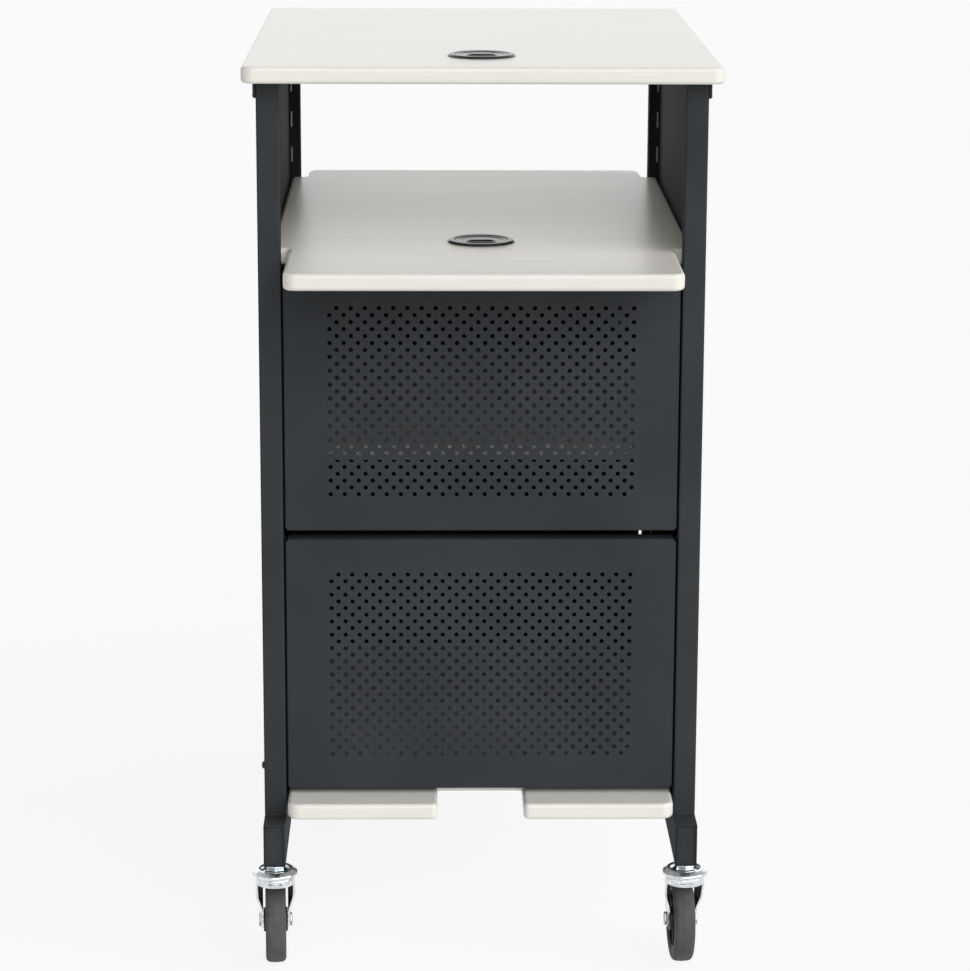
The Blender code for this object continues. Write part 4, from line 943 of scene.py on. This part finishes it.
# %% [markdown]
# ### Grommets
#
# A cable grommet is two mouldings. The ring drops into the bored hole and hides its edge
# under a domed flange. The cap sits on a ledge inside the ring, a little below the flange,
# and turns there, so it is a piece of its own. Its slot lets the cables through, and a raised
# lip round the slot gives a finger something to turn it by.

# %% The grommets
RING_SECTION = [(27.0, -18.0, 0.5), (31.7, -18.0, 1.0), (31.7, -2.7, 0.2), (38.5, -2.7, 0.2),
                (38.5, -2.0, 0.4), (36.4, -0.2, 1.8), (33.6, 0.0, 2.0), (30.3, -0.5, 0.5),
                (30.0, -4.1, 0.2), (27.0, -4.1, 0.4)]
CAP_SECTION = [(0.0, -1.4, 0.0), (25.2, -1.4, 0.5), (26.0, -0.8, 0.5), (29.7, -0.8, 0.5),
               (29.7, -3.8, 0.4), (0.0, -3.8, 0.0)]
GROMMET_STEPS = 72
CABLE_SLOT = Vector((30.0, 15.0, 10.0)) * MM
SLOT_FORWARD = 8.0 * MM
LIP = Vector((33.6, 18.6, 1.8)) * MM
LIP_MIDDLE = -1.5 * MM
ALMOST_HALF = 0.498


def obround(name, place, size):
    """A block with round ends, almost half its width in radius so that they don't meet."""
    block = start_box(name, place - size / 2, place + size / 2)
    pick_edges_along(block, 2)
    round_edges(size.y * ALMOST_HALF, 10)
    return only(block)


for label in ("top", "shelf"):
    crest = box_middle(f"{label}_grommet_ring")
    crest.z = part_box(f"{label}_grommet_ring")[1].z
    ring = laid(turned(f"{label}_grommet_flange", RING_SECTION, GROMMET_STEPS), crest)
    install(shade(ring), "black_plastic", f"{label}_grommet_ring")
    cap = turned(f"{label}_grommet_lid", CAP_SECTION, GROMMET_STEPS, closed=False)
    slot = crest - Vector((0.0, SLOT_FORWARD, 0.0))
    weld(laid(cap, crest), obround("lip", slot + Vector((0.0, 0.0, LIP_MIDDLE)), LIP))
    cut(cap, obround("slot", slot, CABLE_SLOT))
    install(shade(cap), "black_plastic", f"{label}_grommet_cap")

# %% [markdown]
# ## Casters
#
# All four casters are the same, so each of their parts is made once, as it would stand on a
# bench: the swivel axis on the Z axis, the floor at zero, the wheel trailing along Y. The
# bright cap with its nut stays with the runner, the fork swivels under it, the wheel turns in
# the fork, and the two casters at the door have a brake.

# %% The cap and its nut
CASTER_CAP = [(0.0, 104.8, 0.0), (6.2, 104.8, 0.8), (7.0, 106.0, 0.5), (7.0, 108.0, 0.2),
              (4.0, 108.0, 0.0), (4.0, 118.8, 0.0), (25.8, 118.8, 0.5), (26.5, 119.4, 0.4),
              (26.5, 122.8, 2.4), (20.2, 126.4, 3.4), (17.2, 126.0, 1.0),
              (15.8, 122.4, 0.6), (6.0, 122.2, 0.0), (6.0, 157.0, 0.6), (0.0, 157.0, 0.0)]
CAP_STEPS = 56
NUT_RADIUS = 11.5 * MM
NUT_LOW, NUT_HIGH = 122.0 * MM, 131.1 * MM
NUT_CHAMFER = 0.9 * MM


def hexagon(name, radius, low, high, chamfer):
    """A nut or bolt head about the Z axis with its two rims chamfered."""
    nut = start("cylinder", name, vertices=6, radius=radius, depth=high - low,
                location=(0.0, 0.0, (low + high) / 2))
    pick_ends(nut, 2)
    round_edges(chamfer, 2)
    return only(nut)


cap_master = weld(turned("cap", CASTER_CAP, CAP_STEPS, closed=False),
                  hexagon("nut", NUT_RADIUS, NUT_LOW, NUT_HIGH, NUT_CHAMFER))
print("cap:", len(cap_master.data.polygons), "faces")

# %% [markdown]
# The fork is pressed from one sheet: a round crown, hollow below, and two legs that leave it
# where its skirt is widest, pull in to the wheel and reach back to the axle. The crown is
# turned. A leg is a sheet that bends both ways at once, which no single extrude gives, so it
# starts as a grid, and a rule says where each of its points goes. Solidify then gives it the
# thickness of the sheet.

# %% The fork
CROWN = [(4.3, 118.3, 0.0), (23.0, 118.3, 2.6), (23.0, 108.4, 0.5), (20.6, 108.4, 0.5),
         (20.6, 115.9, 1.2), (4.3, 115.9, 0.0)]
CROWN_RADIUS = 23.0 * MM
LEG_TOP = 111.0 * MM
LEG_FREE = 90.0 * MM
LEG_FLAT = 57.0 * MM
LEG_X = 17.0 * MM
LEG_SHEET = 2.4 * MM
LEG_START = Vector((5.5, 9.5)) * MM
LEG_END = Vector((30.0, 10.0)) * MM
AXLE_HEIGHT = 50.8 * MM
END_SHARE = 0.24
END_TURN = math.radians(88.0)
CROWN_SLOTS = ((-4.6, 6.6), (5.6, 3.6))
CROWN_SLOT_LOW, CROWN_SLOT_HIGH = 112.2 * MM, 113.8 * MM


def leg_place(across, down, side):
    """Where a leg's point goes; across runs from -1 to 1 and down from 0 to 1."""
    if down < 1.0 - END_SHARE:
        share = down / (1.0 - END_SHARE)
        height = LEG_TOP + (AXLE_HEIGHT - LEG_TOP) * share
        middle, half = LEG_START.lerp(LEG_END, share)
    else:
        turn = END_TURN * (down - 1.0 + END_SHARE) / END_SHARE
        middle, half = LEG_END.x, LEG_END.y * math.cos(turn)
        height = AXLE_HEIGHT - LEG_END.y * math.sin(turn)
    y = middle + across * half
    free = min(max((LEG_FREE - height) / (LEG_FREE - LEG_FLAT), 0.0), 1.0)
    blend = free * free * (3 - 2 * free)
    round_x = math.sqrt(max(CROWN_RADIUS ** 2 - y ** 2, LEG_X ** 2))
    return Vector((side * (round_x + (LEG_X - round_x) * blend), y, height))


def make_leg(side):
    """One leg of the fork, with its wall inside."""
    leg = start("grid", "leg", x_subdivisions=8, y_subdivisions=34, size=2.0)
    for vert in leg.data.vertices:
        vert.co = leg_place(vert.co.x, (1.0 - vert.co.y) / 2, side)
    tidy_normals(leg)
    if leg.data.polygons[0].normal.x * side < 0:
        pick_all(leg)
        bpy.ops.mesh.flip_normals()
    return apply(leg, "SOLIDIFY", thickness=LEG_SHEET, offset=-1.0)


fork_master = turned("fork", CROWN, CAP_STEPS)
for middle_mm, width_mm in CROWN_SLOTS:
    middle, half = middle_mm * MM, width_mm * MM / 2
    cut(fork_master, start_box("crown_slot", (middle - half, -2 * CROWN_RADIUS, CROWN_SLOT_LOW),
                               (middle + half, 0.0, CROWN_SLOT_HIGH)))
weld(fork_master, make_leg(-1), make_leg(1))
print("fork:", len(fork_master.data.polygons), "faces")

# %% [markdown]
# The two casters at the door have ears on the legs that carry the brake's pivot. An ear is a
# plate, and it bites a little into its leg so that the two weld into one shell.

# %% The brake's ears
EAR = [(22.0, 84.0, 3.0), (41.0, 78.0, 5.0), (68.5, 93.6, 6.2), (68.5, 106.4, 6.2),
       (12.0, 108.0, 3.0)]
EAR_BITE = 0.1 * MM

braked_master = copied(fork_master, "braked_fork")
for side in (-1, 1):
    ear = plate("ear", EAR, side * LEG_SHEET, 0)
    weld(braked_master, laid(ear, (side * (LEG_X - LEG_SHEET - EAR_BITE), 0.0, 0.0)))
print("fork with ears:", len(braked_master.data.polygons), "faces")

# %% [markdown]
# The axle is a bolt with a head at each side. The hub is moulded: a barrel round the axle, a
# thin web with six ribs a side, and a rim that holds the tyre. The tyre is turned from a
# section with round shoulders, a fine groove in each side and the mould line in the middle
# of its tread, which stands out by a third of a millimetre.

# %% Axle, hub and tyre
AXLE_PLACE = (0.0, 30.0 * MM, AXLE_HEIGHT)
BOLT = [(0.0, -17.2, 0.0), (4.8, -17.2, 0.0), (4.8, 17.2, 0.0), (5.6, 17.2, 0.0),
        (5.6, 19.6, 0.8), (0.0, 20.2, 0.0)]
BOLT_HEADS = ((17.1, 19.3), (-19.6, -17.1))
HEAD_RADIUS = 8.0 * MM
HEAD_CHAMFER = 0.6 * MM
HUB = [(5.1, -14.2, 0.3), (14.2, -14.2, 0.8), (14.6, -4.5, 1.2), (32.6, -4.0, 1.5),
       (33.0, -10.6, 0.4), (35.5, -10.6, 0.4), (35.5, 10.6, 0.4), (33.0, 10.6, 0.4),
       (32.6, 4.0, 1.5), (14.6, 4.5, 1.2), (14.2, 14.2, 0.8), (5.1, 14.2, 0.3)]
TYRE = [(35.8, -11.6, 0.5), (40.6, -12.0, 0.4), (41.2, -11.5, 0.2), (41.8, -12.0, 0.4),
        (49.8, -12.0, 5.6), (50.5, -0.7, 0.0), (50.8, 0.0, 0.0), (50.5, 0.7, 0.0),
        (49.8, 12.0, 5.6), (41.8, 12.0, 0.4), (41.2, 11.5, 0.2), (40.6, 12.0, 0.4),
        (35.8, 11.6, 0.5)]
RIBS = 6
RIB_LOW, RIB_HIGH = Vector((13.0, -1.2, -9.0)) * MM, Vector((34.0, 1.2, 9.0)) * MM

axle_master = turned("axle", BOLT, 32, closed=False)
for low_mm, high_mm in BOLT_HEADS:
    weld(axle_master, hexagon("head", HEAD_RADIUS, low_mm * MM, high_mm * MM, HEAD_CHAMFER))
hub_master = turned("hub", HUB, 64)
for index in range(RIBS):
    rib = start_box("rib", RIB_LOW, RIB_HIGH)
    weld(hub_master, laid(rib, (0.0, 0.0, 0.0), (0.0, 0.0, 360.0 * index / RIBS)))
tyre_master = turned("tyre", TYRE, 96)
for master in (axle_master, hub_master, tyre_master):
    laid(master, AXLE_PLACE, ALONG_X)
    print(f"{master.name}: {len(master.data.polygons)} faces")

# %% [markdown]
# Now the masters are copied to the four places. The frame says where each swivel axis stands
# and how far its fork is turned; the two front ones are a few degrees out of line, as casters
# are. The brake pedal is already right in the CAD, so it is copied from there, its loose
# triangles are merged into faces, and its edges are eased.

# %% Four casters
PEDAL_EASE = 0.5 * MM
SHARP = math.radians(40.0)
MASTERS = (cap_master, fork_master, braked_master, axle_master, hub_master, tyre_master)
AXLES = {joint["name"]: Vector(joint["axis"]) for joint in frame["joints"]}


def eased_copy(node, name, radius):
    """A CAD node's mesh with its triangles merged to faces and its sharp edges rounded."""
    piece = copied(frame["nodes"][node], name)
    piece.parent = None
    piece.matrix_world = Matrix()
    return apply(merge_flat(tidy_normals(piece)), "BEVEL", width=radius, segments=2,
                 limit_method="ANGLE", angle_limit=SHARP, use_clamp_overlap=True)


for master in MASTERS:
    shade(master)
for label in ("front_left", "front_right", "rear_left", "rear_right"):
    caster = f"{label}_caster"
    axis = AXLES[f"{label}_spin"]
    foot = box_middle(f"{caster}_stem")
    stand = Matrix.Translation((foot.x, foot.y, 0.0))
    swung = stand @ Matrix.Rotation(math.atan2(axis.y, axis.x), 4, "Z")
    braked = f"{caster}_brake_pedal" in frame["nodes"]
    for master, place, piece_name, finish, node in (
            (cap_master, stand, "cap", "zinc_plate", "stem"),
            (braked_master if braked else fork_master, swung, "pressed_fork", "zinc_plate", "fork"),
            (axle_master, swung, "bolt", "steel_pin", "axle"),
            (hub_master, swung, "ribbed_hub", "dark_hub", "hub"),
            (tyre_master, swung, "tread", "grey_rubber", "tyre")):
        install(copied(master, f"{caster}_{piece_name}", place), finish, f"{caster}_{node}")
    if braked:
        pedal = eased_copy(f"{caster}_brake_pedal", f"{caster}_brake_lever", PEDAL_EASE)
        install(shade(pedal), "black_plastic", f"{caster}_brake_pedal")
for master in MASTERS:
    bpy.data.objects.remove(master)

# %% [markdown]
# ## The door
#
# The door closes the side away from the camera. It is a tray folded from the same sheet as
# the panels, so the same fold helpers make it, from a plain plane this time. A hole for the
# lock is drilled before the lock goes in.

# %% The door
LOCK_HOLE = 9.3 * MM

low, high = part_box("cabinet_door")
lock_low, lock_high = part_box("lock_barrel")
lock_place = Vector(((lock_low.x + lock_high.x) / 2, high.y, (lock_low.z + lock_high.z) / 2))
half = Vector((high.x - low.x, high.z - low.z)) / 2 - Vector((BEND_RADIUS, BEND_RADIUS))
door = start("plane", "cabinet_door_tray", size=2.0, stretch=(half.x, half.y, 1.0))
fold_tray(door, half, high.y - low.y)
stand_up(door, ((low.x + high.x) / 2, high.y, (low.z + high.z) / 2), 180.0)
drill = start("cylinder", "lock_drill", vertices=48, radius=LOCK_HOLE, depth=2 * OVERRUN,
              location=lock_place, rotation=(math.radians(90.0), 0.0, 0.0))
install(shade(cut(door, drill)), "charcoal_coat", "cabinet_door")

# %% [markdown]
# The pull is a bent bar. A disc is laid on the door, extruded outwards, spun a quarter turn,
# drawn down, spun back and extruded again. Both spins turn inwards, so the grip lies in the
# door's sheet, and only the feet stand out from it. Each foot has a small collar.

# %% The pull
PULL_RADIUS = 4.5 * MM
PULL_BEND = 14.0 * MM
COLLAR = [(0.0, 0.0, 0.0), (6.4, 0.0, 0.2), (6.4, 1.6, 0.8), (0.0, 2.2, 0.0)]

low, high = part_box("door_pull")
reach = high.y - PULL_RADIUS
head, foot = high.z - PULL_RADIUS, low.z + PULL_RADIUS
pull = start("circle", "door_pull_bar", vertices=24, radius=PULL_RADIUS, fill_type="NGON",
             location=(lock_place.x, low.y, head), rotation=(math.radians(-90.0), 0.0, 0.0))
pick_all(pull)
extrude((0.0, reach - PULL_BEND - low.y, 0.0))
for bend_z in (head - PULL_BEND, foot + PULL_BEND):
    bpy.ops.mesh.spin(steps=8, angle=math.radians(-90.0), axis=(1.0, 0.0, 0.0),
                      center=(lock_place.x, reach - PULL_BEND, bend_z))
    if bend_z > foot + PULL_BEND:
        extrude((0.0, 0.0, foot - head + 2 * PULL_BEND))
extrude((0.0, low.y - reach + PULL_BEND, 0.0))
tidy_normals(pull)
for height in (head, foot):
    collar = turned("collar", COLLAR, 32, closed=False)
    weld(pull, laid(collar, (lock_place.x, low.y, height), ALONG_Y))
install(shade(pull), "black_plastic", "door_pull")

# %% [markdown]
# The cam lock is a barrel with a bevelled flange and a plug with a key slot. The cam on the
# plug's inner end swings behind the column when the key turns.

# %% The lock
plug_low, plug_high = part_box("lock_plug")
BARREL_END = (lock_low.y - lock_place.y) / MM
PLUG_END = (plug_low.y - lock_place.y) / MM
CAM_REACH = (plug_low.z - lock_place.z) / MM
BARREL = [(6.2, 2.7, 0.2), (10.4, 2.8, 0.9), (11.0, 0.3, 0.2), (9.0, 0.3, 0.0),
          (9.0, BARREL_END, 0.5), (6.2, BARREL_END, 0.2)]
PLUG = [(0.0, 2.4, 0.0), (5.4, 2.4, 0.3), (5.9, 2.0, 0.2), (5.9, PLUG_END, 0.3),
        (0.0, PLUG_END, 0.0)]
CAM = [(-7.5, 7.5, 7.4), (7.5, 7.5, 7.4), (7.5, CAM_REACH, 3.0), (-7.5, CAM_REACH, 3.0)]
CAM_SHEET = 2.0 * MM
KEY_SLOT = Vector((0.8, 3.0, 4.0)) * MM

barrel = laid(turned("lock_barrel_flange", BARREL, 48), lock_place, ALONG_Y)
install(shade(barrel), "zinc_plate", "lock_barrel")
plug = laid(turned("lock_plug_cam", PLUG, 40, closed=False), lock_place, ALONG_Y)
cam = laid(plate("cam", CAM, CAM_SHEET, 1), (lock_place.x, plug_low.y, lock_place.z))
face = Vector((lock_place.x, plug_high.y, lock_place.z))
cut(weld(plug, cam), start_box("key_slot", face - KEY_SLOT, face + KEY_SLOT))
install(shade(plug), "steel_pin", "lock_plug")

# %% [markdown]
# A hinge has two leaves that are cut like combs, so that the knuckles of one fit between
# those of the other, and a pin through them all. The leaf is traced with its teeth, its
# knuckles are short tubes, and three screw heads hold it down.

# %% The hinges
LEAF_SHEET = 1.5
LEAF_FAR = 22.15
LEAF_NEAR = 5.0
LEAF_BACK = -4.2
END_KNUCKLE = 15.0
KNUCKLE_GAP = 0.3
KNUCKLE_BORE, KNUCKLE_RADIUS = 2.4, 4.5
SCREW_X = 15.5
SCREW_STEPS = (-16.0, 0.0, 16.0)
SCREW_HEAD = [(0.0, 0.1, 0.0), (1.5, 0.1, 0.0), (1.5, 0.7, 0.1), (2.6, 0.6, 0.4),
              (3.5, 0.0, 0.0), (0.0, 0.0, 0.0)]
HINGE_PIN = [(0.0, 1.8, 0.0), (2.8, 1.6, 0.6), (4.2, 0.3, 0.2), (2.1, 0.3, 0.0),
             (2.1, -50.0, 0.4), (0.0, -50.0, 0.0)]


def knuckle(low, high):
    """A tube about the Z axis between two heights in millimetres."""
    return turned("knuckle", [(KNUCKLE_BORE, low, 0.2), (KNUCKLE_RADIUS, low, 0.3),
                              (KNUCKLE_RADIUS, high, 0.3), (KNUCKLE_BORE, high, 0.2)], 32)


def comb(side, tall, knuckles):
    """The outline of a leaf, with a tooth at each knuckle, in millimetres."""
    near = side * LEAF_NEAR
    edge = [(side * LEAF_FAR, 0.0, 3.0), (side * LEAF_FAR, tall, 3.0)]
    if knuckles[-1][1] < tall:
        edge += [(near, tall, 0.0)]
    for low, high in reversed(knuckles):
        edge += [(near, high, 0.0), (0.0, high, 0.0), (0.0, low, 0.0), (near, low, 0.0)]
    return edge + ([(near, 0.0, 0.0)] if knuckles[0][0] > 0.0 else [])


def make_leaf(name, side, tall, knuckles):
    """A hinge leaf about its own pin; side is the way it lies along X."""
    leaf = plate(name, comb(side, tall, knuckles), LEAF_SHEET * MM, 1)
    weld(laid(leaf, (0.0, LEAF_BACK * MM, 0.0)), *[knuckle(*ends) for ends in knuckles])
    cut(leaf, start("cylinder", "bore", vertices=32, radius=KNUCKLE_BORE * MM,
                    depth=2 * tall * MM))
    for step in SCREW_STEPS:
        place = Vector((side * SCREW_X, LEAF_BACK + LEAF_SHEET, tall / 2 + step)) * MM
        weld(leaf, laid(turned("head", SCREW_HEAD, 20, closed=False), place, ALONG_Y))
    return leaf


for label in ("lower", "upper"):
    low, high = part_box(f"{label}_hinge_door_leaf")
    axis = box_middle(f"{label}_hinge_pin")
    tall = (high.z - low.z) / MM
    ends = [(0.0, END_KNUCKLE), (tall - END_KNUCKLE, tall)]
    middle = [(END_KNUCKLE + KNUCKLE_GAP, tall - END_KNUCKLE - KNUCKLE_GAP)]
    for holder, side, knuckles in (("frame", -1, ends), ("door", 1, middle)):
        leaf = make_leaf(f"{label}_hinge_{holder}_comb", side, tall, knuckles)
        laid(leaf, (axis.x, axis.y, low.z))
        install(shade(leaf), "zinc_plate", f"{label}_hinge_{holder}_leaf")
    pin = turned(f"{label}_hinge_rivet", HINGE_PIN, 32, closed=False)
    install(shade(laid(pin, (axis.x, axis.y, high.z))), "steel_pin", f"{label}_hinge_pin")

# %% [markdown]
# ## Small steelwork
#
# Side panels and cross members keep their CAD forms, but real sheet has soft edges, so each
# is an eased box. A side panel grows inwards by an inner skin, because its inner face shows
# that far in. One round-headed screw sits at the side of the front left column. It is
# turned, with a socket for a hex key.

# %% Side panels, cross members and the side screw
SKIN_INWARD = 4.4 * MM
PANEL_EASE = 0.6 * MM
MEMBER_EASE = 1.2 * MM
SCREW = [(0.0, 1.2, 0.0), (1.5, 1.2, 0.0), (1.6, 3.1, 0.1), (2.8, 3.1, 0.6), (4.5, 1.3, 0.9),
         (4.5, 0.0, 0.1), (2.4, 0.0, 0.0), (2.4, -8.0, 0.3), (0.0, -8.0, 0.0)]


def install_eased(node, low, high, radius):
    """A box with eased edges in place of a CAD node."""
    piece = ease_edges(start_box(f"{node}_eased", low, high), radius)
    install(shade(piece), "charcoal_coat", node)


for hand, side in HANDS.items():
    low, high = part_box(f"{hand}_side_panel")
    inner = high if side < 0 else low
    inner.x -= side * SKIN_INWARD
    install_eased(f"{hand}_side_panel", low, high, PANEL_EASE)
for end in ("front", "rear"):
    install_eased(f"{end}_cross_member", *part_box(f"{end}_cross_member"), MEMBER_EASE)
place = box_middle("side_screw")
place.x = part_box("front_left_column")[0].x
screw_head = laid(turned("side_screw_head", SCREW, 32, closed=False), place, (0.0, -90.0, 0.0))
install(shade(screw_head), "black_screw", "side_screw")

# %% [markdown]
# A weld bead is a row of small overlapping ripples. A line that goes in and out, spun about
# its own length, gives them. Beads lie where each column stands on its runner, under the
# drop of each top rail, and at the ends of the cross members, and they are painted over.

# %% Weld beads
BEAD_LOW, BEAD_HIGH, BEAD_STEP, BEAD_TIP = 2.1, 3.0, 2.2, 0.6


def bead(length, place, turn_deg=(0.0, 0.0, 0.0)):
    """A rippled bead of a length, centred on its place, along Z before it is turned."""
    length -= 2 * TUBE_CORNER
    count = int(length / MM / BEAD_STEP)
    line = [(BEAD_HIGH if index % 2 else BEAD_LOW, (index - count / 2) * BEAD_STEP, 0.0)
            for index in range(count + 1)]
    line = [(0.0, line[0][1] - BEAD_TIP, 0.0), *line, (0.0, line[-1][1] + BEAD_TIP, 0.0)]
    return laid(turned("bead", line, 12, closed=False), place, turn_deg)


beads = []
for end in ("front", "rear"):
    for hand, side in HANDS.items():
        low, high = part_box(f"{end}_{hand}_column")
        middle = (low + high) / 2
        for y in (low.y, high.y):
            beads.append(bead(high.x - low.x, (middle.x, y, low.z), ALONG_X))
        outer = (low.x if side < 0 else high.x) + side * MM
        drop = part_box(f"{hand}_top_rail")[0].z
        beads.append(bead(high.y - low.y, (outer, middle.y, drop), ALONG_Y))
    low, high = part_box(f"{end}_cross_member")
    for x in (low.x, high.x):
        for y in (low.y, high.y):
            beads.append(bead(high.z - low.z, (x, y, (low.z + high.z) / 2)))
weld_beads = join(*beads)
weld_beads.name = weld_beads.data.name = "frame_weld_beads"
install(shade(weld_beads, 60.0), "charcoal_coat", body=BODY_OF["top_board"])

# %% [markdown]
# Two thin strips close the cupboard against light: one beside the hinges and one on the lower
# shelf, just inside the door. Without them a white line would show through the holes.

# %% Light stops
STOP_SHEET = 1.2 * MM
STOP_BACK = 1.5 * MM
STOP_WIDTH = 9.0 * MM
STOP_REST = 0.1 * MM
STOP_EASE = 0.3 * MM

door_low, door_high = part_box("cabinet_door")
shelf_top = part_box("lower_shelf")[1].z
hinge_x = rear_column_high.x
near_y = door_low.y - STOP_BACK - STOP_SHEET
far_y = door_low.y - STOP_BACK
stops = {
    "hinge_side_stop": ((hinge_x + STOP_REST, near_y, shelf_top + STOP_REST),
                        (hinge_x + STOP_WIDTH, far_y, door_high.z)),
    "shelf_sill_stop": ((hinge_x + STOP_WIDTH, near_y, shelf_top + STOP_REST),
                        (-hinge_x - STOP_REST, far_y, shelf_top + STOP_WIDTH)),
}
for name, (low, high) in stops.items():
    stop = ease_edges(start_box(name, low, high), STOP_EASE)
    install(shade(stop), "charcoal_coat", body=BODY_OF["top_board"])

# %% [markdown]
# ## Camera, floor and light
#
# The camera stands where the photographer's did. Its place and turn were found by fitting the
# corners of the boards and columns to the picture, so the render lies over the photograph. A
# long lens from almost four metres keeps the uprights nearly parallel.

# %% The camera
CAMERA_PLACE = (-60.17 * MM, -3853.08 * MM, 1442.17 * MM)
PITCH_DEG = 13.6495
YAW_DEG = 1.0382
ROLL_DEG = 0.2222
LENS_MM = 118.73
SENSOR_MM = 36.0

bpy.ops.object.camera_add()
camera = bpy.context.object
camera.data.lens = LENS_MM
camera.data.sensor_width = SENSOR_MM
camera.matrix_world = (Matrix.Translation(CAMERA_PLACE)
                       @ Matrix.Rotation(math.radians(-YAW_DEG), 4, "Z")
                       @ Matrix.Rotation(math.radians(90.0 - PITCH_DEG), 4, "X")
                       @ Matrix.Rotation(math.radians(ROLL_DEG), 4, "Z"))
bpy.context.scene.camera = camera
print("camera:", [round(v, 3) for v in camera.location], "m")

# %% [markdown]
# The photograph has a white ground without a horizon. A white floor alone would render grey,
# because light falls on it at a slant. More light would burn out the boards, so the floor
# answers the camera and the mirror-like surfaces with mostly plain white instead, and keeps
# a share of its own shading. The shadow under the cart stays in that share.

# %% The floor
FLOOR_SIZE = 80.0
FLOOR_WHITE = (0.93, 0.93, 0.93, 1.0)
WHITE_SHARE = 0.88


def seen_directly(tree):
    """1 for camera, glossy and transmission rays, and 0 for the rest."""
    seen = tree.add("ShaderNodeLightPath", {}, {}, "Is Camera Ray")
    for ray in ("Is Glossy Ray", "Is Transmission Ray"):
        seen = seen.math("MAXIMUM", seen, tree.add("ShaderNodeLightPath", {}, {}, ray))
    return seen


def mix_shaders(tree, share, first, second, output):
    """Mixes two shaders and leads them to the output."""
    mixed = tree.add("ShaderNodeMixShader", {}, {"Fac": share, 1: first, 2: second}, "Shader")
    tree.feed(tree.nodes[output].inputs["Surface"], mixed)


floor = start("plane", "floor", size=FLOOR_SIZE)
floor.data.materials.append(bpy.data.materials.new("floor"))
tree = Tree(floor.data.materials[0])
glow = tree.add("ShaderNodeEmission", {}, {}, "Emission")
matt = tree.add("ShaderNodeBsdfDiffuse", {}, {"Color": FLOOR_WHITE}, "BSDF")
mix_shaders(tree, 1 - WHITE_SHARE * seen_directly(tree), glow, matt, "Material Output")
floor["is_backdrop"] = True
print("floor:", FLOOR_SIZE, "m,", len(tree.nodes), "nodes")

# %% [markdown]
# The light is a soft studio: a sky that is bright at the horizon and greyer overhead, so
# bright metal has something dark to mirror, and three wide lamps far away. The first comes
# from the camera's side, low enough to reach under the top board, the second from the right,
# and the third from low behind, for the far half of the middle shelf. Suns light the big
# floor evenly, which near lamps don't. Their strengths were found by rendering one lamp at a
# time and fitting the sum to the greys of the photograph.

# %% Light
WHITE = (1.0, 1.0, 1.0, 1.0)
SKY_STRENGTH = 0.25
SKY_ZENITH = (0.36, 0.37, 0.38, 1.0)
# Each lamp: strength, spread, azimuth from the camera's side towards the right, elevation.
LAMPS = {
    "front": (1.25, 40.0, 8.0, 24.0),
    "right": (1.75, 60.0, 62.0, 33.0),
    "back": (0.58, 70.0, 180.0, 20.0),
}

world = bpy.context.scene.world or bpy.data.worlds.new("studio")
bpy.context.scene.world = world
tree = Tree(world)
way = tree.add("ShaderNodeTexCoord", {}, {}, "Generated")
height = tree.add("ShaderNodeSeparateXYZ", {}, {0: way}, "Z")
sky = tree.blend(height, WHITE, SKY_ZENITH)
backdrop = tree.blend(tree.add("ShaderNodeLightPath", {}, {}, "Is Camera Ray"), sky, WHITE)
lit = tree.add("ShaderNodeBackground", {}, {"Color": sky, "Strength": SKY_STRENGTH})
shown = tree.add("ShaderNodeBackground", {}, {"Color": backdrop})
mix_shaders(tree, seen_directly(tree), lit, shown, "World Output")

for name, (strength, spread_deg, azimuth_deg, elevation_deg) in LAMPS.items():
    bpy.ops.object.light_add(type="SUN")
    lamp = bpy.context.object
    lamp.name = lamp.data.name = f"{name}_lamp"
    lamp.data.energy = strength
    lamp.data.angle = math.radians(spread_deg)
    lamp.rotation_euler = [math.radians(a) for a in (90.0 - elevation_deg, 0.0, azimuth_deg)]
    print(f"{lamp.name}: {strength} at {elevation_deg} degrees")
bpy.context.scene.view_settings.view_transform = "Standard"

# %% [markdown]
# Last, the dressed cart's box is printed, in millimetres. Dressing a cart mustn't change its size.

# %% Sizes
low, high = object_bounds()
print("dressed:", len(made), "pieces,", [round(size / MM, 1) for size in high - low], "mm")
